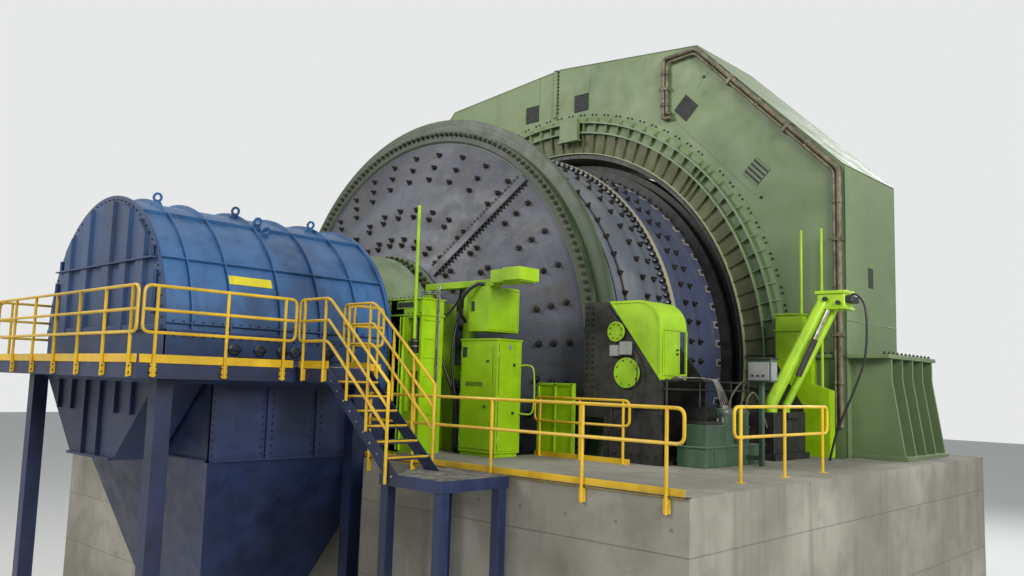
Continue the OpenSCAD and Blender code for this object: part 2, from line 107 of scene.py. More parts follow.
class Sheet:
    """The node sheet of one finish, or of the world."""

    def __init__(self, name, world=None):
        self.material = world or bpy.data.materials.new(name)
        self.material.use_nodes = True
        self.tree = self.material.node_tree
        self.tree.nodes.clear()

    def node(self, kind, settings=None, inputs=None):
        """Adds a node: its settings first, then the values or links of its sockets."""
        made = self.tree.nodes.new(kind)
        for key, value in (settings or {}).items():
            if key == "stops":
                ramp = made.color_ramp
                while len(ramp.elements) < len(value):
                    ramp.elements.new(0.5)
                for element, (place, colour) in zip(ramp.elements, value):
                    element.position, element.color = place, colour
            else:
                setattr(made, key, value)
        for key, value in (inputs or {}).items():
            if isinstance(value, Value):
                self.tree.links.new(value.socket, made.inputs[key])
            else:
                made.inputs[key].default_value = value
        return made

    def out(self, kind, settings=None, inputs=None, output=0):
        return Value(self, self.node(kind, settings, inputs).outputs[output])

    def math(self, operation, *terms, clamp=False):
        settings = {"operation": operation, "use_clamp": clamp}
        return self.out("ShaderNodeMath", settings, dict(enumerate(terms)))

    def vector(self, operation, *terms):
        return self.out("ShaderNodeVectorMath", {"operation": operation}, dict(enumerate(terms)))

    def mix(self, factor, low, high, blend="MIX"):
        """Colour low where the factor is 0, high where it is 1."""
        settings = {"data_type": "RGBA", "blend_type": blend}
        return self.out("ShaderNodeMix", settings, {0: factor, 6: low, 7: high}, 2)

    def place(self):
        return self.out("ShaderNodeTexCoord", output=3)

    def parts(self, vector):
        """The three numbers of a vector."""
        made = self.node("ShaderNodeSeparateXYZ", None, {0: vector})
        return [Value(self, made.outputs[i]) for i in range(3)]

    def join(self, x, y, z):
        return self.out("ShaderNodeCombineXYZ", None, {0: x, 1: y, 2: z})

    def stretch(self, vector, x, y, z):
        return self.vector("MULTIPLY", vector, (x, y, z))

    def noise(self, vector, scale, detail=3.0, rough=0.55):
        inputs = {"Vector": vector, "Scale": scale, "Detail": detail, "Roughness": rough}
        return self.out("ShaderNodeTexNoise", None, inputs)

    def cells(self, vector, scale, feature="F1"):
        inputs = {"Vector": vector, "Scale": scale}
        return self.out("ShaderNodeTexVoronoi", {"feature": feature}, inputs)

    def span(self, value, low, high, start=0.0, end=1.0):
        """Start up to low, end from high on, and a smooth step in between."""
        inputs = {0: value, 1: low, 2: high, 3: start, 4: end}
        return self.out("ShaderNodeMapRange", {"interpolation_type": "SMOOTHSTEP"}, inputs)

    def facing_up(self):
        """How far a face looks up, from -1 to 1."""
        return self.parts(self.out("ShaderNodeNewGeometry", output=1))[2]

    def polar(self, place):
        """Distance from the mill's axis, direction round it in turns, and place along it."""
        x, y, z = self.parts(place)
        z = z - AXIS_H
        radius = self.math("SQRT", x * x + z * z)
        return radius, self.math("ARCTAN2", z, x) / math.tau, y

    def finish(self, colour, rough, metal=0.0, bump=None, depth=0.004, coat=0.0):
        """Joins colour, roughness, metal and height to the surface."""
        inputs = {"Base Color": colour, "Roughness": rough, "Metallic": metal}
        if coat:
            inputs["Coat Weight"] = coat
        if bump is not None:
            height = {"Strength": 0.6, "Distance": depth, "Height": bump}
            inputs["Normal"] = self.out("ShaderNodeBump", None, height)
        surface = self.out("ShaderNodeBsdfPrincipled", None, inputs)
        self.node("ShaderNodeOutputMaterial", None, {"Surface": surface})
        return self.material


def drum_start(name):
    """The sheet of a drum paint with its place, its polar places and its three noises."""
    s = Sheet(name)
    at = s.place()
    polar = s.polar(at)
    return (s, at, *polar, s.noise(at, 0.33, 4), s.noise(at, 1.9, 6, 0.62), s.noise(at, 34, 3))


def bolt_stain(s, place, rows, near, far):
    """1 close to any of the rows of bolts and 0 away from them."""
    stain = 0.0
    for row in rows:
        reach = s.math("ABSOLUTE", place - row)
        stain = s.math("MAXIMUM", s.span(reach, near, far, 1.0, 0.0), stain)
    return stain


def drum_finish(s, colour, middle, fine, low, high):
    """The roughness and height that the drum's paints share."""
    rough = s.span(middle, 0.2, 0.8, low, high)
    return s.finish(colour, rough, 0.0, fine * 0.3 + middle * 0.6, 0.005)


def pale_specks(s, at, colour):
    """Small pale splashes in patches."""
    speck = s.span(s.cells(at, 7.0), 0.10, 0.05) * s.span(s.noise(at, 0.8, 2), 0.45, 0.6)
    return s.mix(speck * 0.6, colour, tone(166, 164, 156))


def weathered(name, light, dark, dust=0.35, runs=0.3, chips=0.3, gloss=0.5,
              soil=(58, 52, 44), bare=(70, 48, 36), dust_tone=(150, 146, 134), chip_size=7.0,
              metal=0.0, broad=0.4):
    """Paint on fixed steel: a slow change of tone, dirt that ran down, dust on top and chips."""
    s = Sheet(name)
    at = s.place()
    slow = s.noise(at, broad, 4)
    middle = s.noise(at, 2.6, 5, 0.6)
    fine = s.noise(at, 38, 3)
    colour = s.mix(s.span(slow * 0.7 + middle * 0.3, 0.38, 0.62), dark, light)
    drip = s.noise(s.stretch(at, 5.5, 5.5, 0.45), 1.0, 5, 0.65)
    run_mask = s.span(drip, 0.52, 0.74) * runs
    colour = s.mix(run_mask, colour, tone(*soil))
    up = s.facing_up()
    dust_mask = s.span(up, 0.35, 0.95) * s.span(middle, 0.25, 0.7) * dust
    colour = s.mix(dust_mask, colour, tone(*dust_tone))
    chip = s.noise(at, chip_size, 7, 0.75)
    chip_mask = s.span(chip, 0.665, 0.685) * chips
    colour = s.mix(chip_mask, colour, tone(*bare))
    rough = s.span(middle, 0.2, 0.8, gloss - 0.08, gloss + 0.14) + dust_mask * 0.3
    return s.finish(colour, rough, metal, fine * 0.25 - chip_mask * 0.5 + middle * 0.5, 0.004)


def head_paint(name):
    """Worn primer on a drum head: grease thrown outwards in rays, rub marks round the axis,
    rust at the bolt circles, a bare ledge and a bolted rim in green."""
    s, at, radius, turn, _, slow, middle, fine = drum_start(name)
    colour = s.mix(s.span(slow, 0.4, 0.6), tone(42, 48, 60), tone(74, 78, 88))
    ray = s.noise(s.join(turn * 150.0, radius * 0.55, 0.0), 1.0, 4, 0.6)
    colour = s.mix(s.span(ray, 0.54, 0.74) * 0.55, colour, tone(84, 78, 60))
    ray_dark = s.noise(s.join(turn * 110.0 + 7.0, radius * 0.4, 3.0), 1.0, 4, 0.6)
    colour = s.mix(s.span(ray_dark, 0.55, 0.75) * 0.6, colour, tone(38, 40, 44))
    wipe = s.noise(s.join(turn * 5.0, radius * 5.0, 9.0), 1.0, 5, 0.7)
    colour = s.mix(s.span(wipe, 0.56, 0.72) * 0.3, colour, tone(106, 110, 118))
    colour = s.mix(s.span(middle, 0.52, 0.72) * 0.45, colour, tone(60, 60, 64))
    stain = bolt_stain(s, radius, (4.53, 4.225, 3.93, 3.115, 2.43), 0.03, 0.2)
    colour = s.mix(stain * s.span(ray, 0.42, 0.7) * 0.65, colour, tone(64, 50, 36))
    colour = pale_specks(s, at, colour)
    green = s.mix(s.span(middle, 0.4, 0.6), tone(37, 52, 32), tone(57, 68, 43))
    oil = s.noise(s.join(turn * 60.0, radius * 3.0, 0.0), 1.0, 4, 0.6)
    green = s.mix(s.span(oil, 0.5, 0.7) * 0.6, green, tone(50, 40, 28))
    ledge, rim = s.span(radius, 4.80, 4.83), s.span(radius, 4.868, 4.878)
    colour = s.mix(rim, s.mix(ledge, colour, tone(96, 98, 92)), green)
    return drum_finish(s, colour, middle, fine, 0.4, 0.66)


def shell_paint(name):
    """Worn primer on the drum's shell: pale and brushed near the disc, blue behind its middle
    flange, near black close to the motor, and stained round every row of bolts."""
    s, at, radius, turn, along, slow, middle, fine = drum_start(name)
    colour = s.mix(s.span(slow, 0.4, 0.6), tone(84, 90, 100), tone(120, 123, 125))
    colour = s.mix(s.span(along, 2.85, 2.95) * 0.75, colour, tone(50, 60, 92))
    wipe = s.noise(s.join(turn * 26.0, along * 4.5, 0.0), 1.0, 5, 0.65)
    colour = s.mix(s.span(wipe, 0.5, 0.72) * 0.5, colour, tone(108, 102, 86))
    band = s.noise(s.join(turn * 3.0, along * 13.0, 5.0), 1.0, 5, 0.7)
    colour = s.mix(s.span(band, 0.52, 0.7) * 0.45, colour, tone(58, 58, 62))
    stain = bolt_stain(s, along, SHELL_ROWS, 0.02, 0.16)
    step = s.math("ABSOLUTE", s.math("FRACT", turn * 72.0 + 0.5) - 0.5)
    spot = stain * s.span(step, 0.08, 0.4, 1.0, 0.0)
    rust = s.math("MAXIMUM", spot, stain * 0.5) * s.span(middle, 0.3, 0.6) * 0.75
    colour = s.mix(rust, colour, tone(56, 44, 34))
    colour = s.mix(s.span(along, 4.95, 5.5) * 0.75, colour, tone(32, 32, 34))
    flange_edge = s.span(radius, 5.058, 5.066)
    colour = s.mix(flange_edge, pale_specks(s, at, colour), tone(150, 146, 122))
    return drum_finish(s, colour, middle, fine, 0.42, 0.64)


def ring_paint(name, light, dark, soil, oil_share=0.5, gloss=0.42):
    """Paint on a turned ring, streaked round the axis and oiled in places."""
    s = Sheet(name)
    at = s.place()
    radius, turn, along = s.polar(at)
    streak = s.noise(s.join(turn * 9.0, radius * 16.0, along * 9.0), 1.0, 5, 0.6)
    middle = s.noise(at, 2.0, 6, 0.62)
    colour = s.mix(s.span(streak, 0.35, 0.65), dark, light)
    oil = s.noise(s.join(turn * 42.0, radius * 2.2, along), 1.0, 4, 0.62)
    colour = s.mix(s.span(oil * 0.6 + middle * 0.4, 0.5, 0.66) * oil_share, colour, tone(*soil))
    rough = s.span(middle, 0.2, 0.8, gloss - 0.1, gloss + 0.18)
    return s.finish(colour, rough, 0.0, streak * 0.5 + s.noise(at, 30, 3) * 0.3, 0.004)


def motor_paint(name, collar=False):
    """Sage paint of the motor: welded panels with slow tones, brown runs and rubbed places. On
    the collars it turns brown between the seal and the inner band, grime with painted shade of
    that recess, and near black at the seal, painted shade of the gap."""
    s = Sheet(name)
    at = s.place()
    slow = s.noise(at, 0.22, 4)
    middle = s.noise(at, 1.7, 6, 0.62)
    fine = s.noise(at, 30, 3)
    colour = s.mix(s.span(slow, 0.38, 0.62), tone(89, 109, 71), tone(109, 128, 85))
    drip = s.noise(s.stretch(at, 3.2, 3.2, 0.28), 1.0, 5, 0.65)
    colour = s.mix(s.span(drip, 0.52, 0.76) * 0.35, colour, tone(98, 92, 62))
    colour = s.mix(s.span(middle, 0.56, 0.78) * 0.4, colour, tone(76, 96, 66))
    up = s.facing_up()
    dust = s.span(up, 0.4, 0.95) * s.span(middle, 0.2, 0.7)
    colour = s.mix(dust * 0.5, colour, tone(150, 150, 130))
    rust = s.span(s.noise(at, 5.0, 8, 0.75), 0.68, 0.72)
    colour = s.mix(rust * 0.5, colour, tone(96, 62, 38))
    if collar:
        radius, turn, _ = s.polar(at)
        grease = s.noise(s.join(turn * 90.0, radius * 1.5, 0.0), 1.0, 4, 0.6)
        # Brown inside the inner band: grime streaks and painted shade of the recess together
        inner = s.span(radius, 6.09, 6.12, 1.0, 0.0)
        brown = s.mix(s.span(grease, 0.4, 0.65), tone(84, 84, 54), tone(104, 108, 74))
        colour = s.mix(inner * 0.85, colour, brown)
        hoop_edge = s.span(radius, 5.59, 5.6) * s.span(radius, 5.622, 5.63, 1.0, 0.0)
        colour = s.mix(hoop_edge, colour, tone(142, 150, 118))
        # Painted shade: near black at the seal and the bore, where the gap to the shell lies in shade
        colour = s.mix(s.span(radius, 5.57, 5.58, 1.0, 0.0) * 0.9, colour, tone(38, 40, 34))
    rough = s.span(middle, 0.2, 0.8, 0.46, 0.62) + dust * 0.2
    return s.finish(colour, rough, 0.0, fine * 0.2 + middle * 0.6, 0.006)


def concrete_finish(name, low=(112, 109, 98), high=(148, 145, 133)):
    """Cast concrete: board marks, pores, damp patches and dust."""
    s = Sheet(name)
    at = s.place()
    height = s.parts(at)[2]
    slow = s.noise(at, 0.3, 5, 0.6)
    middle = s.noise(at, 1.8, 7, 0.62)
    fine = s.noise(at, 26, 5, 0.7)
    pores = s.span(s.cells(at, 16.0), 0.16, 0.08) * s.span(middle, 0.45, 0.6)
    lift = s.math("ABSOLUTE", s.math("FRACT", height / 1.2) - 0.5)
    joint = s.span(lift, 0.488, 0.497)
    colour = s.mix(s.span(slow, 0.35, 0.65), tone(*low), tone(*high))
    colour = s.mix(s.span(middle, 0.5, 0.75) * 0.5, colour, tone(100, 95, 82))
    drip = s.noise(s.stretch(at, 2.6, 2.6, 0.22), 1.0, 5, 0.65)
    colour = s.mix(s.span(drip, 0.5, 0.76) * 0.45, colour, tone(80, 74, 62))
    colour = s.mix(joint * 0.5 + pores * 0.5, colour, tone(78, 75, 66))
    rough = s.span(fine, 0.2, 0.8, 0.78, 0.95)
    return s.finish(colour, rough, 0.0, fine * 0.5 + middle - pores - joint * 0.8, 0.008)


def steel_finish(name, light, dark, rust, gloss=0.4, metal=0.6, rust_share=0.5):
    """Bare or blued steel with oil and rust, for nuts, pins and plates."""
    s = Sheet(name)
    at = s.place()
    middle = s.noise(at, 6.0, 5, 0.65)
    fine = s.noise(at, 60.0, 3)
    colour = s.mix(s.span(middle, 0.35, 0.65), dark, light)
    mask = s.span(s.noise(at, 2.4, 6, 0.7), 0.5, 0.7) * rust_share
    colour = s.mix(mask, colour, rust)
    rough = s.span(fine, 0.2, 0.8, gloss - 0.08, gloss + 0.15) + mask * 0.2
    return s.finish(colour, rough, (1.0 - mask) * metal, fine * 0.4, 0.002)


def rubber_finish(name):
    """Black rubber of hoses, dusty on top."""
    s = Sheet(name)
    at = s.place()
    dust = s.span(s.noise(at, 3.0, 4), 0.4, 0.7) * s.span(s.facing_up(), -0.2, 0.9)
    colour = s.mix(dust * 0.5, tone(24, 24, 24), tone(88, 84, 74))
    return s.finish(colour, s.span(dust, 0.0, 1.0, 0.42, 0.8), 0.0, s.noise(at, 90.0, 2), 0.001)


FINISH = {}


def make_finishes(colours):
    """Every finish of the mill by its short name."""
    hood, rail, lime = (tuple(c) + (1.0,) for c in (colours.hood, colours.rail, colours.lime))

    def steel(name, light, dark, rust, gloss, metal, share=0.5):
        return steel_finish(name, tone(*light), tone(*dark), tone(*rust), gloss, metal, share)

    FINISH.update(
        head=head_paint("head_paint"),
        shell=shell_paint("shell_paint"),
        ring=ring_paint("brake_disc_paint", tone(59, 74, 47), tone(41, 56, 34), (38, 35, 25)),
        flange=ring_paint("trunnion_paint", tone(126, 134, 104), tone(100, 112, 84),
                          (62, 66, 42), 0.4),
        motor=motor_paint("motor_paint"),
        collar=motor_paint("collar_paint", True),
        blue=weathered("hood_paint", hood, tone(34, 62, 98), dust=0.5, runs=0.35, chips=0.35,
                       gloss=0.42, dust_tone=(104, 122, 140), soil=(30, 40, 54),
                       bare=(140, 148, 156)),
        # A darker copy of the hood's blue: painted shade for the end plate and the lower body, which lie
        # away from the light
        end=weathered("hood_blue_painted_shade", tone(30, 62, 102), tone(18, 42, 78), dust=0.4, runs=0.5,
                      chips=0.4, gloss=0.42, soil=(24, 30, 42), bare=(120, 130, 140),
                      dust_tone=(84, 98, 112)),
        # An even darker copy of the hood's blue: painted shade for the chutes and hopper under the hood,
        # the walkway, the stair and other low parts
        deep=weathered("hood_blue_deeper_painted_shade", tone(23, 39, 76), tone(12, 23, 50), dust=0.5, runs=0.6,
                       chips=0.6, gloss=0.45, dust_tone=(66, 70, 78), soil=(24, 24, 28)),
        yellow=weathered("rail_paint", rail, tone(180, 144, 20), dust=0.3, runs=0.3, chips=0.9,
                         gloss=0.38, bare=(84, 66, 40), chip_size=14.0, soil=(92, 74, 30),
                         dust_tone=(180, 160, 90)),
        lime=weathered("lime_paint", lime, tone(126, 166, 5), dust=0.2, runs=0.2, chips=0.6,
                       gloss=0.36, bare=(70, 76, 50), chip_size=10.0, soil=(84, 100, 24),
                       dust_tone=(170, 178, 112)),
        unit=weathered("oil_unit_paint", tone(64, 92, 66), tone(40, 62, 46), dust=0.5, runs=0.5,
                       chips=0.5, gloss=0.4, soil=(36, 34, 26), dust_tone=(120, 124, 108)),
        tag=weathered("tag_paint", tone(212, 198, 34), tone(190, 176, 30), dust=0.2, runs=0.3,
                      chips=0.2, gloss=0.4),
        grey=weathered("plate_grey", tone(150, 152, 150), tone(120, 122, 120), dust=0.3),
        sage=weathered("fitting_sage", tone(126, 144, 106), tone(100, 120, 88), dust=0.4,
                       runs=0.4, chips=0.4),
        weld=weathered("seam_sage", tone(96, 114, 84), tone(72, 90, 64), dust=0.4, runs=0.4),
        concrete=concrete_finish("pier_concrete"),
        mark=concrete_finish("tie_mark_mortar", (96, 92, 82), (116, 112, 102)),
        dark=steel("stand_steel", (46, 46, 44), (26, 26, 26), (60, 46, 34), 0.5, 0.3),
        nut=steel("oiled_nuts", (44, 38, 34), (22, 20, 20), (62, 42, 28), 0.42, 0.3),
        green_nut=steel("painted_nuts", (66, 74, 50), (38, 44, 30), (60, 42, 26), 0.45, 0.1),
        pale_nut=steel("capped_nuts", (168, 170, 168), (84, 88, 96), (74, 66, 56), 0.4, 0.2, 0.3),
        steel=steel("bright_steel", (168, 166, 160), (110, 108, 104), (96, 74, 52), 0.32, 0.8, 0.3),
        conduit=steel("conduit_steel", (116, 110, 88), (80, 74, 58), (88, 66, 48), 0.5, 0.2, 0.4),
        black=steel("black_steel_and_vent_shade", (26, 34, 26), (14, 20, 15), (30, 34, 24), 0.6, 0.0),
        rubber=rubber_finish("hose_rubber"),
    )


# Nodes of the frame under each finish
NODE_FINISH = {
    "concrete": "foundation_raft discharge_pier feed_pier side_pier_right side_pier_left "
                "motor_pier_right motor_pier_left",
    "shell": "shell_front shell_rear",
    "head": "discharge_head_lower discharge_head_upper feed_head",
    "ring": "brake_disc",
    "flange": "discharge_trunnion feed_trunnion",
    "dark": "rotor_ring brake_stands brake_calipers",
    "motor": "motor_housing collar_box motor_feet",
    "collar": "front_collar rear_collar",
    "conduit": "motor_pipes",
    "lime": "discharge_bearing feed_bearing brake_guards control_cabinet cable_arm marker_poles",
    "sage": "discharge_bearing_cap feed_bearing_cap",
    "blue": "hood_shell hood_end_plate hood_rear_ring hood_body",
    # deep is the hood's blue with painted shade, for parts under the hood and walkway and low down
    "deep": "discharge_hopper hopper_frame walkway stair feed_chute",
    "yellow": "rail_right rail_front rail_left rail_rear stair_rails",
}


# Meshes


def piece(name, points, faces, body, finish, smooth=False):
    """Makes one object from an array of points and a list of face arrays, and rides it."""
    mesh = bpy.data.meshes.new(name)
    lists = [f for part in faces for f in np.asarray(part).tolist()]
    mesh.from_pydata(np.asarray(points, float).tolist(), [], lists)
    mesh.validate()
    shell = bmesh.new()
    shell.from_mesh(mesh)
    bmesh.ops.recalc_face_normals(shell, faces=shell.faces)
    shell.to_mesh(mesh)
    shell.free()
    mesh.polygons.foreach_set("use_smooth", np.full(len(mesh.polygons), smooth))
    made = bpy.data.objects.new(name, mesh)
    bpy.context.scene.collection.objects.link(made)
    mesh.materials.append(FINISH[finish])
    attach(made, body)
    return made


class Pile:
    """Points and faces of many small shapes that become one piece."""

    def __init__(self):
        self.points, self.faces, self.count = [], [], 0

    def add(self, points, *faces):
        points = np.asarray(points, float).reshape(-1, 3)
        self.points.append(points)
        self.faces += [np.asarray(f) + self.count for f in faces if len(f)]
        self.count += len(points)
        return self

    def make(self, name, finish, body="plant", smooth=False):
        return piece(name, np.vstack(self.points), self.faces, body, finish, smooth)


def piles(count):
    return [Pile() for _ in range(count)]


def upright(out):
    """Two unit vectors across each of the given directions."""
    out = np.asarray(out, float)
    out = out / np.linalg.norm(out, axis=1, keepdims=True)
    ref = np.where(np.abs(out[:, 2:3]) > 0.9, [[1.0, 0.0, 0.0]], [[0.0, 0.0, 1.0]])
    one = np.cross(ref, out)
    one /= np.linalg.norm(one, axis=1, keepdims=True)
    return out, one, np.cross(out, one)


def turned(pile, at, out, profile, sides=6, twist=0.0):
    """A small turned shape at every place: circles of the profile's radii, at its heights along
    the direction out, joined ring by ring and closed at the top."""
    at = np.asarray(at, float)
    out, one, two = upright(np.broadcast_to(out, at.shape))
    profile = np.asarray(profile, float)
    angle = np.arange(sides) * math.tau / sides + twist
    r, h = profile[:, 0, None], profile[:, 1, None]
    local = np.stack([r * np.cos(angle), r * np.sin(angle), h + 0 * angle], -1).reshape(-1, 3)
    points = (at[:, None] + local[None, :, 0, None] * one[:, None]
              + local[None, :, 1, None] * two[:, None] + local[None, :, 2, None] * out[:, None])
    rings, n = len(profile), len(local)
    i, j = np.meshgrid(np.arange(rings - 1), np.arange(sides), indexing="ij")
    k = (j + 1) % sides
    quads = np.stack([i * sides + j, i * sides + k, (i + 1) * sides + k, (i + 1) * sides + j], -1)
    quads = quads.reshape(-1, 4)
    top = (rings - 1) * sides + np.arange(sides)[None]
    start = (np.arange(len(at)) * n)[:, None, None]
    pile.add(points, (quads[None] + start).reshape(-1, 4), (top[None] + start).reshape(-1, sides))
    return pile


def nuts(pile, at, out, radius, height, stud=0.5, washer=1.5):
    """A washer, a hexagon nut with its chamfer and the stud's end, at every place."""
    turned(pile, at, out, [[washer * radius, -0.2 * height], [washer * radius, 0.16 * height],
                           [radius, 0.16 * height]], 10)
    turned(pile, at, out, [[radius, 0.1 * height], [radius, 0.9 * height],
                           [0.86 * radius, height]], 6)
    if stud:
        turned(pile, at, out, [[0.5 * radius, height * 0.9], [0.5 * radius, height * (1 + stud)]], 6)
    return pile


def boxes(pile, low, high, chamfer=0.004, turn=None, centre=None):
    """Blocks from low to high corners, each edge cut at 45 degrees by the chamfer. A turn is a
    3 x 3 matrix about the given centre."""
    low, high = np.atleast_2d(low).astype(float), np.atleast_2d(high).astype(float)
    sign = np.array([[x, y, z] for x in (0, 1) for y in (0, 1) for z in (0, 1)])
    points = []
    for axis in range(3):
        corner = low[:, None] + (high - low)[:, None] * sign[None]
        inset = (1 - 2 * sign)[None] * chamfer
        inset = inset * (np.arange(3) != axis)
        points.append(corner + inset)
    points = np.stack(points, 2).reshape(len(low), 24, 3)
    # vertex 3 c + a is corner c, inset along the two axes other than a
    quads, tris = [], []
    for axis in range(3):
        b, c = (axis + 1) % 3, (axis + 2) % 3
        for side in (0, 1):
            ring = [k for k in range(8) if sign[k][axis] == side]
            order = sorted(ring, key=lambda k: math.atan2(sign[k][c] - 0.5, sign[k][b] - 0.5))
            face = [3 * k + axis for k in order]
            quads.append(face if side else face[::-1])
        for sb in (0, 1):
            for sc in (0, 1):
                ends = [k for k in range(8) if sign[k][b] == sb and sign[k][c] == sc]
                p, q = sorted(ends, key=lambda k: sign[k][axis])
                face = [3 * p + b, 3 * q + b, 3 * q + c, 3 * p + c]
                quads.append(face if (sb == sc) else face[::-1])
    for k in range(8):
        face = [3 * k, 3 * k + 1, 3 * k + 2]
        tris.append(face if sign[k].sum() % 2 else face[::-1])
    if turn is not None:
        middle = (low + high)[:, None] / 2 if centre is None else np.asarray(centre, float)
        points = (points - middle) @ np.swapaxes(np.asarray(turn, float), -1, -2) + middle
    start = (np.arange(len(low)) * 24)[:, None, None]
    pile.add(points, (np.array(quads)[None] + start).reshape(-1, 4),
             (np.array(tris)[None] + start).reshape(-1, 3))
    return pile


def tube(pile, path, radius, sides=10):
    """A pipe along a path: at each point a circle across the mean of the two directions, kept
    from twisting by carrying the first circle's side vector along. Its ends are closed."""
    path = np.asarray(path, float)
    step = np.diff(path, axis=0)
    step /= np.linalg.norm(step, axis=1, keepdims=True)
    along = np.vstack([step[:1], step[:-1] + step[1:], step[-1:]])
    along /= np.linalg.norm(along, axis=1, keepdims=True)
    side = np.cross(along[0], [0.3, 0.2, 1.0])
    sides_at = []
    for direction in along:
        side = side - direction * (side @ direction)
        side /= np.linalg.norm(side)
        sides_at.append(side)
    one = np.array(sides_at)
    two = np.cross(along, one)
    grow = np.ones(len(path))
    grow[1:-1] = 1 / np.maximum(np.sqrt((1 + (step[:-1] * step[1:]).sum(1)) / 2), 0.5)
    angle = np.arange(sides) * math.tau / sides
    radius = np.broadcast_to(radius, len(path))
    ring = np.cos(angle)[None, :, None] * one[:, None] + np.sin(angle)[None, :, None] * two[:, None]
    points = path[:, None] + ring * radius[:, None, None]
    i, j = np.meshgrid(np.arange(len(path) - 1), np.arange(sides), indexing="ij")
    k = (j + 1) % sides
    quads = np.stack([i * sides + j, i * sides + k, (i + 1) * sides + k, (i + 1) * sides + j], -1)
    first = np.arange(sides)[::-1][None]
    last = (len(path) - 1) * sides + np.arange(sides)[None]
    pile.add(points, quads.reshape(-1, 4), first, last)
    return pile


def smooth_path(points, n=40):
    """A curve through the points: Catmull-Rom cubics in equal steps of the parameter."""
    p = np.asarray(points, float)
    p = np.vstack([2 * p[0] - p[1], p, 2 * p[-1] - p[-2]])
    t = np.linspace(0, len(p) - 3 - 1e-9, n)
    k = t.astype(int)
    u = (t - k)[:, None]
    a, b, c, d = p[k], p[k + 1], p[k + 2], p[k + 3]
    square, cube = 2 * a - 5 * b + 4 * c - d, 3 * b - a - 3 * c + d
    return 0.5 * (2 * b + (c - a) * u + square * u**2 + cube * u**3)


def round_axis(radius, degrees, y):
    """Places at a radius and direction round the mill's axis."""
    a = np.radians(np.asarray(degrees, float))
    return np.stack([radius * np.cos(a), y + 0 * a, AXIS_H + radius * np.sin(a)], -1)


def ring_band(pile, section, degrees=(0, 360), n=180):
    """A section in radius and y, closed, carried round the mill's axis."""
    section = np.asarray(section, float)
    full = degrees[1] - degrees[0] >= 360
    angle = np.radians(np.linspace(*degrees, n, endpoint=not full))
    r, y = section[:, 0], section[:, 1]
    points = np.stack([r[None] * np.cos(angle)[:, None], y[None] + 0 * angle[:, None],
                       AXIS_H + r[None] * np.sin(angle)[:, None]], -1)
    m = len(section)
    i, j = np.meshgrid(np.arange(n if full else n - 1), np.arange(m), indexing="ij")
    k, l = (i + 1) % n, (j + 1) % m
    quads = np.stack([i * m + j, k * m + j, k * m + l, i * m + l], -1).reshape(-1, 4)
    ends = [] if full else [np.arange(m)[None], ((n - 1) * m + np.arange(m))[::-1][None]]
    pile.add(points, quads, *ends)
    return pile


def beams(pile, start, end, side, wide, deep, cut=0.25):
    """Straight bars between two lists of places. Their section is a rectangle, wide along the
    side vector and deep across it, with its corners cut by a part of the thinner size."""
    start, end = (np.atleast_2d(v).astype(float) for v in (start, end))
    start, end = np.broadcast_arrays(start, end)
    along = end - start
    along = along / np.linalg.norm(along, axis=1, keepdims=True)
    side = np.broadcast_to(np.asarray(side, float), start.shape)
    side = side - along * (side * along).sum(1, keepdims=True)
    side = side / np.linalg.norm(side, axis=1, keepdims=True)
    third = np.cross(along, side)
    a, b, c = wide / 2, deep / 2, min(wide, deep) * cut
    section = np.array([[a, -b + c], [a, b - c], [a - c, b], [-a + c, b],
                        [-a, b - c], [-a, -b + c], [-a + c, -b], [a - c, -b]])
    ring = section[None, :, 0, None] * side[:, None] + section[None, :, 1, None] * third[:, None]
    points = np.concatenate([start[:, None] + ring, end[:, None] + ring], 1)
    j = np.arange(8)
    quads = np.stack([j, (j + 1) % 8, (j + 1) % 8 + 8, j + 8], -1)
    caps = np.stack([j[::-1], j + 8])
    at = (np.arange(len(start)) * 16)[:, None, None]
    pile.add(points, (quads[None] + at).reshape(-1, 4), (caps[None] + at).reshape(-1, 8))
    return pile


def lugs(pile, at, up, across, size=0.12, hole=0.035, thick=0.025):
    """Lifting lugs: a plate with a straight foot, a round top and a hole, at every place. Up
    points out of the surface and across lies along the foot."""
    at = np.atleast_2d(at).astype(float)
    up = np.broadcast_to(np.asarray(up, float), at.shape)
    up = up / np.linalg.norm(up, axis=1, keepdims=True)
    across = np.broadcast_to(np.asarray(across, float), at.shape)
    across = across - up * (across * up).sum(1, keepdims=True)
    across = across / np.linalg.norm(across, axis=1, keepdims=True)
    third = np.cross(up, across)
    angle = np.radians(np.linspace(-60, 240, 21))
    outer = np.stack([size * 0.5 * np.cos(angle), size * (0.8 + 0.5 * np.sin(angle))], -1)
    outer[[0, -1]] = [[size * 0.75, -0.02], [-size * 0.75, -0.02]]
    inner = np.stack([hole * np.cos(angle), size * 0.8 + hole * np.sin(angle)], -1)
    flat = np.vstack([outer, inner])
    points = np.stack([at[:, None] + flat[None, :, 0, None] * across[:, None]
                       + flat[None, :, 1, None] * up[:, None] + s * thick / 2 * third[:, None]
                       for s in (-1, 1)], 1).reshape(len(at), -1, 3)
    n, i = 21, np.arange(21)
    k = (i + 1) % n
    front = np.stack([i, k, k + n, i + n], -1)
    back = front[:, ::-1] + 2 * n
    rim = np.stack([k, i, i + 2 * n, k + 2 * n], -1)
    bore = np.stack([i + n, k + n, k + 3 * n, i + 3 * n], -1)
    quads = np.vstack([front[:, ::-1], back[:, ::-1], rim[:, ::-1], bore[:, ::-1]])
    start = (np.arange(len(at)) * 4 * n)[:, None, None]
    pile.add(points, (quads[None] + start).reshape(-1, 4))
    return pile


# Sizes in metres, directions in degrees. Heights are from the mill's axis unless named otherwise

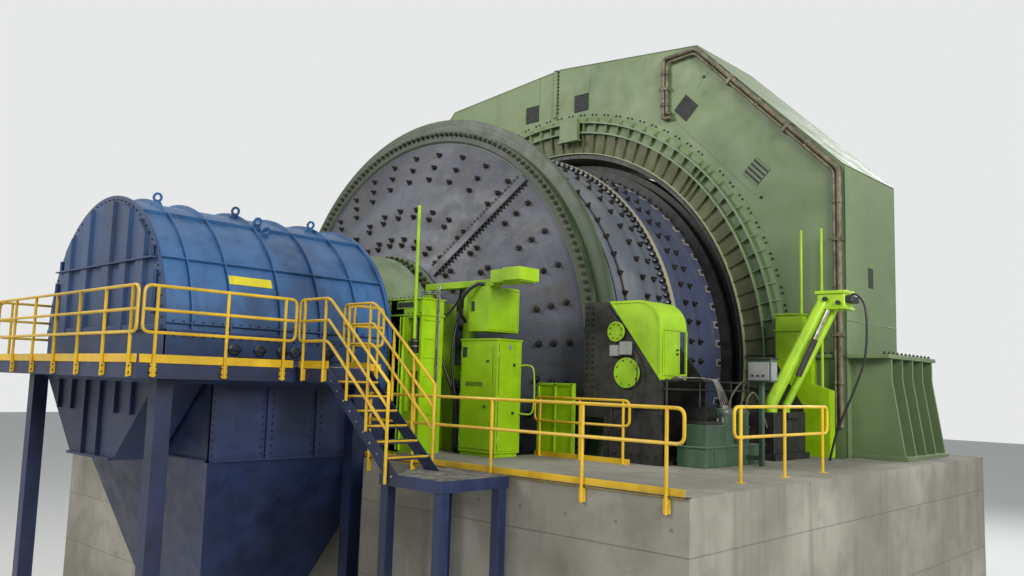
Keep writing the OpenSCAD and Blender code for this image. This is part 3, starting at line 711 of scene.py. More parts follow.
RIGHT, FORE, AFT, UP = (1, 0, 0), (0, -1, 0), (0, 1, 0), (0, 0, 1)
BOTH = (1, -1)
JOINT_DEG = 49.0
RIM_R = 4.835
TRUNNION_R = 2.11
CONE_RISE = 0.94
HEAD_RADII = (4.53, 4.225, 3.93, 3.2, 3.03, 2.5, 2.36)
RIM_NUT_R = 5.035
FLANGE_NUT_R = 5.012
GROUND = FLOOR_H - AXIS_H
DECK = DECK_H - AXIS_H

MOTOR_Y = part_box("motor_housing")[0][1]
MOTOR_W = 2.8
MOTOR_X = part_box("motor_housing")[1][0]
MOTOR_FACES = ((MOTOR_Y, -1), (MOTOR_Y + MOTOR_W, 1))
COLLAR_R = 6.58
COLLAR_BANDS = (COLLAR_R - 0.15, COLLAR_R - 0.42)
BAND_REACH = 0.185
QUARTERS = 45 + 90 * np.arange(4)[:, None]
RIB_STEP = 360 / 104
PIPE_Y = MOTOR_Y - 0.077
PIPE_CLIPS = ((3.445, 6.75, 0), (7.725, 2.6, 0), (7.725, 0.6, 0), (5.23, 6.596, 45), (6.61, 5.206, 45))

HOOD_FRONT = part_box("hood_shell")[0][1]
HOOD_BACK = -2.86
HOOD_R = 2.33
HOOD_HOOPS = (0.094, 0.248, 0.46, 0.646, 0.833)
FOLD_X = (-1.72, -1.37, -0.93, -0.57, -0.03, 0.36, 0.68, 1.02, 1.29, 1.66)
FLOOR_FRONT = -3.87
SLAB_IN = 3.13

RAIL_R = 0.024
RAIL_LEVELS = (1.066, 0.726, 0.406)
FLOOR_LEVELS = (1.066, 0.636)
CHANNEL_H = 0.24
BOARD_Z = 0.04
RAIL_X, RAIL_Y = 3.086, -7.836
# Each guardrail: its name, its node, both ends in x and y, the way off the deck, and its posts
RAIL_RUNS = (
    ("guardrail_right", "rail_right", (RAIL_X, -7.77), (RAIL_X, -5.31), RIGHT,
     (0.08, 0.52, 0.92)),
    ("guardrail_left", "rail_left", (-RAIL_X, -7.77), (-RAIL_X, -3.55), (-1, 0, 0),
     (0.05, 0.28, 0.5, 0.72, 0.95)),
    ("guardrail_front", "rail_front", (-3.05, RAIL_Y), (3.05, RAIL_Y), FORE,
     (0.03, 0.18, 0.34, 0.5, 0.66, 0.82, 0.97)),
    ("guardrail_rear", "rail_rear", (RAIL_X, -4.28), (RAIL_X, -3.55), RIGHT, (0.15, 0.85)),
)
LANDING_X = 3.91
STAIR_Y = (-5.22, -4.43)
STAIR_RUN = 1.75
STAIR_STEPS = 6
STAIR_RISE = (DECK_H - FLOOR_H) / (STAIR_STEPS + 1)
TREAD_GO = 0.25

BRAKE_FACE = -0.62
COVERS = ((5.96, 0.36, 0.165), (6.2, -0.36, 0.25))
TANK_X, TANK_Y = 7.22, (0.85, 1.4)
CABINET_X, CABINET_Y = (3.53, 4.45), (-2.08, -1.45)


def hoop(pile, inner, outer, near, far, degrees=(0, 360), n=180):
    """A flat ring round the mill's axis, between two radii and two places along it."""
    return ring_band(pile, [[inner, near], [outer, near], [outer, far], [inner, far]], degrees, n)


def arc(radius, start, end, n):
    """Points of a circle in x and height from the mill's axis, between two directions in degrees."""
    angle = np.radians(np.linspace(start, end, n))
    return radius * np.stack([np.cos(angle), np.sin(angle)], -1)


class MillSizes(bpy.types.PropertyGroup):
    """Sizes of the small fittings."""

    liner_rows: IntProperty(
        name="Bolt rows on a head", description="Rows of liner bolts round a head",
        default=36, min=12, max=72)
    shell_rows: IntProperty(
        name="Bolt rows on the shell", description="Rows of liner bolts round the shell",
        default=72, min=24, max=120)
    flange_bolts: IntProperty(
        name="Flange bolts", description="Bolts round a flange of the shell",
        default=192, min=60, max=240)
    liner_bolt: FloatProperty(
        name="Liner bolt", description="Half the width of a liner bolt's nut",
        default=0.052, unit="LENGTH")
    flange_bolt: FloatProperty(
        name="Flange bolt", description="Half the width of a flange bolt's nut",
        default=0.044, unit="LENGTH")


class MillColours(bpy.types.PropertyGroup):
    """Colours that a plant may choose."""

    hood: FloatVectorProperty(
        name="Hood", description="Blue of the discharge hood", subtype="COLOR",
        default=tone(54, 98, 146)[:3], min=0, max=1)
    rail: FloatVectorProperty(
        name="Rails", description="Yellow of the guardrails", subtype="COLOR",
        default=tone(214, 174, 30)[:3], min=0, max=1)
    lime: FloatVectorProperty(
        name="Cabinets", description="Lime of the cabinets and bearings", subtype="COLOR",
        default=tone(158, 200, 8)[:3], min=0, max=1)


class MILL_OT_finishes(bpy.types.Operator):
    """Paint, steel and concrete for every part of the frame"""

    bl_idname = "mill.finishes"
    bl_label = "Finishes"

    def execute(self, context):
        make_finishes(context.scene.mill_colours)
        for finish, names in NODE_FINISH.items():
            for name in names.split():
                mesh = NODES[name].data
                mesh.materials.clear()
                mesh.materials.append(FINISH[finish])
        return {"FINISHED"}


def cone_y(radius):
    """Place along the axis of the discharge head's outside at a radius."""
    return -0.08 - (RIM_R - radius) * CONE_RISE / (RIM_R - TRUNNION_R)


def from_axis(x, y, z):
    """Places in metres from the mill's axis and the disc's front, for any mix of lists."""
    x, y, z = np.broadcast_arrays(*(np.asarray(v, float) for v in (x, y, z)))
    return np.stack([x, y, z + AXIS_H], -1).reshape(-1, 3)


def spaced(low, high, step):
    """Places from low to high about a step apart, both ends included."""
    return np.linspace(low, high, max(2, int(round((high - low) / step)) + 1))


def grid(*axes):
    """Every combination of the given lists, one to a row."""
    return np.stack(np.meshgrid(*axes, indexing="ij"), -1).reshape(-1, len(axes))


def prism(pile, outline, low, high, axis=1):
    """A closed outline carried from low to high. On axis 1 it lies in x and height from the
    mill's axis, on axis 2 in x and y."""
    outline = np.asarray(outline, float)
    n = len(outline)
    points = np.zeros((2 * n, 3))
    points[:, [k for k in range(3) if k != axis]] = np.vstack([outline, outline])
    points[:n, axis], points[n:, axis] = low, high
    if axis == 1:
        points[:, 2] += AXIS_H
    i = np.arange(n)
    k = (i + 1) % n
    pile.add(points, i[None], i[::-1][None] + n, np.stack([i, k, k + n, i + n], -1))
    return pile


def axis_plates(pile, outline, degrees, thick):
    """Plates whose outline lies in radius and y, standing out from the mill's axis at every
    direction."""
    outline = np.asarray(outline, float)
    angle = np.radians(np.asarray(degrees, float))[:, None, None]
    side = np.array([-0.5, 0.5])[None, :, None] * thick
    r, y = outline[None, None, :, 0], outline[None, None, :, 1]
    points = np.stack([r * np.cos(angle) - side * np.sin(angle), y + 0 * angle + 0 * side,
                       AXIS_H + r * np.sin(angle) + side * np.cos(angle)], -1).reshape(-1, 3)
    n = len(outline)
    i = np.arange(n)
    k = (i + 1) % n
    start = (np.arange(len(degrees)) * 2 * n)[:, None, None]
    quads = np.stack([i, k, k + n, i + n], -1)
    caps = np.stack([i, i[::-1] + n])
    pile.add(points, (quads[None] + start).reshape(-1, 4), (caps[None] + start).reshape(-1, n))
    return pile


def blocks(pile, *pairs, sides=(1,), chamfer=0.004):
    """Blocks given as low and high corners from the mill's axis, and mirrored for each side."""
    for low, high in pairs:
        for side in sides:
            a, b = np.array(low, float), np.array(high, float)
            x = sorted((side * a[0], side * b[0]))
            boxes(pile, [x[0], a[1], a[2] + AXIS_H], [x[1], b[1], b[2] + AXIS_H], chamfer)
    return pile


def rounded(points, radius=0.11, steps=4):
    """The same path with every inner corner turned into an arc of short steps."""
    points = np.asarray(points, float)
    path = [points[0]]
    for before, here, after in zip(points[:-2], points[1:-1], points[2:]):
        a, b = before - here, after - here
        reach = min(radius, 0.45 * np.linalg.norm(a), 0.45 * np.linalg.norm(b))
        a, b = here + a / np.linalg.norm(a) * reach, here + b / np.linalg.norm(b) * reach
        for t in np.linspace(0, 1, steps + 1):
            path.append((1 - t) ** 2 * a + 2 * t * (1 - t) * here + t * t * b)
    path.append(points[-1])
    return np.array(path)


def rail_panel(pile, start, end, out, posts, levels=RAIL_LEVELS, foot=0.0, board=True):
    """A closed guardrail panel: a loop with round corners, its inner rails, posts down past the
    edge and a board along the foot. Out points away from the deck."""
    start, end, out = (np.asarray(v, float) for v in (start, end, out))
    along, up = end - start, np.array([0, 0, 1.0])
    high, low = levels[0] * up, levels[-1] * up
    middle = start + along / 2
    loop = [middle + high, end + high, end + low, start + low, start + high, middle + high]
    tube(pile, rounded(loop), RAIL_R, 8)
    for level in levels[1:-1]:
        tube(pile, [start + level * up, end + level * up], RAIL_R, 8)
    for part in posts:
        at = start + part * along
        tube(pile, [at - foot * up, at + high], RAIL_R, 8)
    if board:
        toe_board(pile, start, end, out)
    return pile


def toe_board(pile, start, end, out):
    """The board along a guardrail's foot, on the deck's side of the posts."""
    shift = np.array([0, 0, BOARD_Z]) - np.array(out) * 0.026
    beams(pile, start + shift, end + shift, UP, 0.12, 0.016, 0.1)


def post_plates(pile, at, out):
    """The plate between each post's foot and the channel at the deck's edge."""
    side = np.abs(np.cross(out, [0, 0, 1])) * 0.045
    inner = at - np.array(out) * 0.036
    boxes(pile, np.minimum(at, inner) - side - [0, 0, CHANNEL_H - 0.03],
          np.maximum(at, inner) + side - [0, 0, 0.03], 0.002)


def posts_of(start, end, shares):
    """Places at the given shares of the way from start to end."""
    start, end = np.array(start, float), np.array(end, float)
    return start + np.array(shares)[:, None] * (end - start)


class MILL_OT_concrete_forms(bpy.types.Operator):
    """Operating floor round the pit and the raft under it"""

    bl_idname = "mill.concrete_forms"
    bl_label = "Concrete forms"

    def execute(self, context):
        low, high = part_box("foundation_raft")
        out, back = high[0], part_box("motor_pier_right")[0][1]
        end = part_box("motor_pier_right")[1][1]
        pit, ledge, near, far, pier_back = 5.65, 4.2, -1.4, -0.7, -2.8
        floor, raft = piles(2)
        outline = np.array([[SLAB_IN, FLOOR_FRONT], [out, FLOOR_FRONT], [out, back], [pit, back],
                            [pit, far], [ledge, far], [ledge, near], [pit, near],
                            [pit, pier_back], [SLAB_IN, pier_back]])
        for side in BOTH:
            prism(floor, outline * [side, 1], high[2], FLOOR_H, 2)
        made = floor.make("operating_floor", "concrete")
        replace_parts(made, "side_pier_right", "side_pier_left")
        half = np.array([[SLAB_IN, pier_back], [SLAB_IN, FLOOR_FRONT], [out, FLOOR_FRONT],
                         [out, end], [SLAB_IN, end], [SLAB_IN, high[1]]])
        prism(raft, np.vstack([half, half[::-1] * [-1, 1]]), low[2], high[2], 2)
        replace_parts(raft.make("ground_raft", "concrete"), "foundation_raft")
        return {"FINISHED"}


class MILL_OT_motor_forms(bpy.types.Operator):
    """Seal collars, joint strip, terminal box, pipes and feet of the motor"""

    bl_idname = "mill.motor_forms"
    bl_label = "Motor forms"

    def execute(self, context):
        bore, seal, reach, lip = 5.48, 5.56, 0.17, 0.024
        outer, light, (band, inner_band) = COLLAR_R, seal + 0.06, COLLAR_BANDS
        section = np.array([[bore, 0], [outer + 0.13, 0], [outer + 0.13, 0.014],
                            [outer + 0.02, 0.014], [outer - 0.08, 0.06], [inner_band - 0.04, 0.09],
                            [light + 0.02, lip], [light, lip], [light, 0.1], [light - 0.02, 0.1],
                            [light - 0.02, lip], [seal, lip], [seal, 0.05], [bore, 0.05]])
        rib = np.array([[light - 0.01, 0], [outer, 0], [outer, 0.06], [outer - 0.08, 0.12],
                        [band - 0.01, reach], [inner_band - 0.01, reach], [light - 0.01, 0.07]])
        turns = (QUARTERS + np.append((np.arange(26) + 0.5) * RIB_STEP, 0)).ravel()
        for name, node, (y, way) in (("front_seal_collar", "front_collar", MOTOR_FACES[0]),
                                     ("rear_seal_collar", "rear_collar", MOTOR_FACES[1])):
            pile = Pile()
            ring_band(pile, section * [1, way] + [0, y], n=240)
            for radius in COLLAR_BANDS:
                hoop(pile, radius - 0.02, radius, y, y + way * BAND_REACH, n=240)
            axis_plates(pile, rib * [1, way] + [0, y], turns, 0.022)
            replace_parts(pile.make(name, "collar"), node)

        strip, box, pipes, feet = piles(4)
        near, far = MOTOR_Y, MOTOR_Y + MOTOR_W
        low, high, left, right = outer + 0.14, 8.066, -0.21, -0.11
        blocks(strip, ([left, near - 0.06, low], [right, near + 0.01, high]),
               ([left, far - 0.01, low], [right, far + 0.06, high]),
               ([left, near - 0.06, high - 0.03], [right, far + 0.06, high + 0.01]))
        strip.make("housing_joint_strip", "motor")

        back = near - reach - 0.015
        blocks(box, ([0.25, back - 0.13, outer - 0.7], [0.85, back, outer - 0.13]),
               ([0.21, back - 0.15, outer - 0.73], [0.89, back, outer - 0.67]), chamfer=0.006)
        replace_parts(box.make("terminal_box", "motor"), "collar_box")

        for radius, g in ((0.055, 0.0), (0.035, 0.11)):
            path = from_axis([3.65, 3.39 + g, 3.39 + g, 4.31 - g / 3, 7.78 - g, 7.78 - g], PIPE_Y,
                             [6.0 + g, 6.0 + g, 7.525 - g, 7.59 - g, 4.1 - g / 3, -1.3])
            tube(pipes, rounded(path, 0.1), radius, 14)
        for x, z, deg in PIPE_CLIPS:
            along = 0.129 * np.array([math.cos(math.radians(deg)), 0, math.sin(math.radians(deg))])
            middle = from_axis(x, PIPE_Y + 0.007, z)
            beams(pipes, middle - along, middle + along, AFT, 0.14, 0.08, 0.08)
        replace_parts(pipes.make("edge_pipes", "conduit"), "motor_pipes")

        edge, top, plate = MOTOR_X + 1.11, 0.2, 0.08
        blocks(feet, ([MOTOR_X, near + 0.15, GROUND], [edge, far - 0.15, GROUND + plate]),
               ([MOTOR_X, near - 0.06, top - plate], [edge - 0.26, far - 0.06, top]),
               ([MOTOR_X - 0.76, near - 0.06, top - plate], [MOTOR_X - 0.28, near, top]),
               sides=BOTH)
        gusset = np.array([[MOTOR_X, top - 0.001], [edge - 0.3, top - 0.001],
                           [edge - 0.3, top - 0.5], [edge - 0.06, GROUND + plate],
                           [edge - 0.06, GROUND + 0.001], [MOTOR_X, GROUND + 0.001]])
        for side in BOTH:
            for y in near + 0.17 + np.arange(5) * (MOTOR_W - 0.4) / 4:
                prism(feet, gusset * [side, 1], y, y + 0.06)
        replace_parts(feet.make("housing_feet", "motor"), "motor_feet")
        return {"FINISHED"}


class MILL_OT_bearing_forms(bpy.types.Operator):
    """Saddles and side posts of the trunnion bearings"""

    bl_idname = "mill.bearing_forms"
    bl_label = "Bearing forms"

    def execute(self, context):
        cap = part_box("discharge_bearing_cap")[1][0] + 0.001
        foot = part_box("discharge_bearing")[0][2] - AXIS_H
        half, top = 2.65, 0.9
        saddle = np.vstack([[[-half, foot], [half, foot], [half, top], [cap, top], [cap, 0]],
                            arc(1.901, 0, -180, 61), [[-cap, 0], [-cap, top], [-half, top]]])
        for name, node, way in (("discharge_saddle", "discharge_bearing", -1),
                                ("feed_saddle", "feed_bearing", 1)):
            near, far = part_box(node)[0][1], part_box(node)[1][1]
            face = near if way < 0 else far
            pile = Pile()
            prism(pile, saddle, near, far)
            # Blocks of a side post: from and to in x and height, and behind the saddle's face
            for x0, x1, z0, z1, y0, y1 in (
                    (2.27, 3.17, GROUND, top, 0.3, 0.52), (2.27, 2.78, GROUND, top, 0.0, 0.301),
                    (3.11, 3.17, GROUND, top, 0.0, 0.301), (2.779, 3.111, GROUND, -1.15, 0.0, 0.301),
                    (2.779, 3.111, -0.43, -0.11, 0.0, 0.301), (2.779, 3.111, 0.54, top, 0.0, 0.301),
                    (2.779, 3.111, -0.11, 0.54, 0.15, 0.301), (2.245, 3.195, 0.875, top, -0.025, 0.545),
                    (2.245, 3.195, 0.58, 0.605, -0.025, 0.545)):
                y = sorted((face - way * y0, face - way * y1))
                blocks(pile, ([x0, y[0], z0], [x1, y[1], z1]), sides=BOTH, chamfer=0.001)
            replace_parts(pile.make(name, "lime"), node)
        return {"FINISHED"}


class MILL_OT_hood_forms(bpy.types.Operator):
    """Discharge hood with its hoops and ribs, its body, chute and hopper"""

    bl_idname = "mill.hood_forms"
    bl_label = "Hood forms"

    def execute(self, context):
        r, skin, rim, base, journal = HOOD_R, 0.02, 0.06, 0.06, 1.93
        front, back = HOOD_FRONT, HOOD_BACK
        foot_deg = math.degrees(math.asin(base / r))
        turns = foot_deg, 180 - foot_deg, 73
        shell, end, body, low_body = piles(4)

        def half_ring(inner, outer):
            """Outline between two radii over the hood, from its right foot to its left foot."""
            return np.vstack([arc(outer, *turns), arc(inner, *turns)[::-1]])

        prism(shell, half_ring(r - skin, r), front, back)
        for part in HOOD_HOOPS:
            y = front + part * (back - front)
            prism(shell, half_ring(r - 0.005, r + 0.07), y - 0.008, y + 0.008)
        axis_plates(shell, [[r - 0.005, front], [r + 0.07, front], [r + 0.07, back],
                            [r - 0.005, back]], [30, 57.5, 122.5, 150], 0.016)
        for z in (base, base + 0.1):
            blocks(shell, ([r - 0.01, front, z], [r + rim, back, z + 0.02]),
                   sides=BOTH, chamfer=0.002)
        inner = arc(journal, 180, 0, 49)
        inner = inner[inner[:, 1] > base]
        prism(shell, np.vstack([arc(r + rim, *turns), [[-journal, base]], inner,
                                [[journal, base]]]), back, back + 0.08)
        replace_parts(shell.make("hood_cover", "blue"), "hood_shell", "hood_rear_ring")

        prism(end, arc(r + 0.045, *turns), front - 0.04, front)
        for x0, x1 in np.array(FOLD_X).reshape(-1, 2):
            x = np.array([x0, x1, x0 + 0.05, x1 - 0.05])
            y = front - np.array([0.039, 0.039, 0.095, 0.095])
            tops = np.sqrt((r - 0.06) ** 2 - x * x)
            end.add(np.concatenate([from_axis(x, y, base + 0.002), from_axis(x, y, tops)]),
                    [[0, 1, 3, 2], [4, 5, 7, 6]],
                    [[0, 2, 6, 4], [2, 3, 7, 6], [3, 1, 5, 7], [1, 0, 4, 5]])
        half = math.sqrt(r * r - 1.18**2) - 0.02
        blocks(end, ([-half, front - 0.13, 1.168], [half, front - 0.03, 1.192]), chamfer=0.002)
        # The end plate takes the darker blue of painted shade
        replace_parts(end.make("hood_end", "end"), "hood_end_plate")

        wide, body_low, rear_low, box_front = r + rim, -0.75, -1.95, -6.3
        blocks(body, ([wide - skin, front - skin, body_low], [wide, back, base]),
               sides=BOTH, chamfer=0.001)
        blocks(body, ([-wide, front - skin, body_low], [wide, front, base]), chamfer=0.001)
        lower = arc(journal, 0, math.degrees(-0.4), 9)
        cheek = np.vstack([[[wide, base], [journal, base]], lower,
                           [[lower[-1, 0], body_low], [wide, body_low]]])
        for side in BOTH:
            prism(body, cheek * [side, 1], back - skin, back)
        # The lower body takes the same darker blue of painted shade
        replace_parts(body.make("hood_lower_body", "end"), "hood_body")

        ledge = rear_low + 0.03
        blocks(low_body, ([wide - skin, box_front, rear_low], [wide, back, body_low]),
               ([wide - 0.001, -5.33, rear_low], [wide + 0.05, -5.25, body_low - 0.06]),
               ([wide - 0.001, -4.39, rear_low], [wide + 0.05, -4.31, body_low - 0.06]),
               ([wide - 0.001, box_front - 0.04, rear_low], [wide + 0.06, back, ledge]),
               sides=BOTH, chamfer=0.001)
        blocks(low_body, ([-wide, box_front, rear_low], [wide, box_front + skin, body_low]),
               ([-wide, back - skin, rear_low], [wide, back, body_low]),
               ([-wide - 0.06, box_front - 0.04, rear_low], [wide + 0.06, box_front, ledge]),
               chamfer=0.001)
        # Tapered chute under the front half of the hood, with stiffeners
        top, foot, chute_low, chute_back = 2.2, 0.87, -2.01, box_front - 0.05
        outline = [[-top, body_low], [top, body_low], [foot, chute_low], [-foot, chute_low]]
        prism(low_body, outline, front - skin, front)
        prism(low_body, outline, chute_back - skin, chute_back)
        edge = np.array([[top, body_low], [foot, chute_low], [foot - skin, chute_low],
                         [top - skin, body_low]])
        for side in BOTH:
            prism(low_body, edge * [side, 1], front, chute_back)
        for x in (-1.5, -0.9, -0.3, 0.3, 0.9, 1.5):
            z = chute_low if abs(x) < foot else -1.26
            blocks(low_body, ([x - 0.01, front - 0.08, z], [x + 0.01, front - skin, body_low]),
                   chamfer=0.001)
        blocks(low_body, ([-foot, front - 0.09, chute_low], [foot, front - skin, chute_low + 0.04]),
               chamfer=0.001)
        # Hopper: four sloping plates down to the outlet, as an outer and an inner pair of rings
        upper = np.array([[-wide, box_front], [wide, box_front], [wide, back], [-wide, back]])
        under = np.array([[-0.9, -5.5], [0.9, -5.5], [0.9, -3.7], [-0.9, -3.7]])
        rings = []
        for shrink in (0.0, skin):
            for ring, z in ((upper, AXIS_H + rear_low), (under, 3.8)):
                inset = ring - np.sign(ring - ring.mean(0)) * shrink
                rings.append(np.column_stack([inset, np.full(4, z)]))
        i = np.arange(4)
        k = (i + 1) % 4
        low_body.add(np.vstack(rings), np.stack([i, k, k + 4, i + 4], -1),
                     np.stack([k, i, i + 4, k + 4], -1) + 8,
                     np.stack([i, k, k + 8, i + 8], -1), np.stack([k, i, i + 8, k + 8], -1) + 4)
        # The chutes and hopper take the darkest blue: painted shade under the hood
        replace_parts(low_body.make("hood_chutes", "deep"), "discharge_hopper")
        return {"FINISHED"}


class MILL_OT_access_forms(bpy.types.Operator):
    """Guardrails with round corners, the stair and its platform"""

    bl_idname = "mill.access_forms"
    bl_label = "Access forms"

    def execute(self, context):
        foot, (y0, y1) = CHANNEL_H - 0.02, STAIR_Y
        for name, node, start, end, out, shares in RAIL_RUNS:
            start, end = [*start, DECK_H], [*end, DECK_H]
            pile = Pile()
            rail_panel(pile, start, end, out, shares, foot=foot)
            post_plates(pile, posts_of(start, end, shares), out)
            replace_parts(pile.make(name, "yellow"), node)

        stair, rails, floor_pile = piles(3)
        cheek, foot_x, low = 0.012, LANDING_X + STAIR_RUN, GROUND - 0.16
        outline = [[LANDING_X, DECK - CHANNEL_H], [LANDING_X, DECK], [foot_x, GROUND - 0.001],
                   [foot_x - 0.33, GROUND - 0.001]]
        for near in (y0, y1 - cheek):
            prism(stair, outline, near, near + cheek)
        for i in range(STAIR_STEPS):
            x, top = LANDING_X + i * TREAD_GO, DECK - (i + 1) * STAIR_RISE
            blocks(stair, ([x, y0 + cheek, top - 0.04], [x + 0.235, y1 - cheek, top]), chamfer=0.002)
        blocks(stair, ([foot_x - 0.4, y0, low], [foot_x + 0.9, FLOOR_FRONT - 0.07, GROUND]),
               chamfer=0.003)
        for x in (foot_x - 0.38, foot_x + 0.73):
            for near in (y0 + 0.02, FLOOR_FRONT - 0.24):
                blocks(stair, ([x, near, -AXIS_H], [x + 0.15, near + 0.15, low + 0.001]))
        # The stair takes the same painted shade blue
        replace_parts(stair.make("stair_flight", "deep"), "stair")

        end_x, start_x, newel = foot_x - 0.23, RAIL_X + 0.03, FLOOR_H + 0.19
        for y, out, low_end in ((y0 - 0.036, -1, -0.14), (y1 + 0.036, 1, 0.0)):
            # Each rail runs along the landing and down beside the stair
            top, middle, low = (np.array([[start_x, y, DECK_H + level], [LANDING_X, y, DECK_H + level],
                                          [end_x, y, newel + level]]) for level in RAIL_LEVELS)
            tube(rails, rounded(np.vstack([top[1:][::-1], top[:1], low])), RAIL_R, 8)
            tube(rails, middle, RAIL_R, 8)
            posts = np.array([[start_x + 0.13, y, DECK_H], [start_x + 0.7, y, DECK_H]])
            for at in posts:
                tube(rails, [at - [0, 0, foot], at + [0, 0, RAIL_LEVELS[0]]], RAIL_R, 8)
            post_plates(rails, posts, [0, out, 0])
            for at in posts_of([LANDING_X, y, DECK_H], [end_x, y, newel], (0.35, 0.68)):
                tube(rails, [at - [0, 0, 0.04], at + [0, 0, RAIL_LEVELS[0]]], RAIL_R, 8)
            tube(rails, [[end_x, y, FLOOR_H + low_end], [end_x, y, newel + RAIL_LEVELS[0]]], RAIL_R, 8)
            toe_board(rails, [start_x, y, DECK_H], [LANDING_X, y, DECK_H], [0, out, 0])
        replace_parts(rails.make("stair_guardrails", "yellow"), "stair_rails")

        edge_x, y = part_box("foundation_raft")[1][0], FLOOR_FRONT - 0.036
        start, end = [SLAB_IN + 0.04, y, FLOOR_H], [edge_x - 0.06, y, FLOOR_H]
        front, shares, inner = [0, -1, 0], (0.02, 0.2, 0.48, 0.75, 0.96), (0.06, 0.5, 0.94)
        rail_panel(floor_pile, start, end, front, shares, FLOOR_LEVELS, foot)
        post_plates(floor_pile, posts_of(start, end, shares), front)
        for start, end in (([4.32, -0.9, FLOOR_H], [6.45, -0.9, FLOOR_H]),
                           ([edge_x - 0.5, -1.9, FLOOR_H], [edge_x - 0.5, 1.2, FLOOR_H])):
            rail_panel(floor_pile, start, end, front, inner, FLOOR_LEVELS, 0.0, False)
            at = posts_of(start, end, inner)
            boxes(floor_pile, at - [0.06, 0.06, 0], at + [0.06, 0.06, 0.01], 0.002)
        boxes(floor_pile, [4.32, -0.89, FLOOR_H], [6.45, -0.875, FLOOR_H + 0.09], 0.002)
        floor_pile.make("floor_guardrails", "yellow")
        return {"FINISHED"}


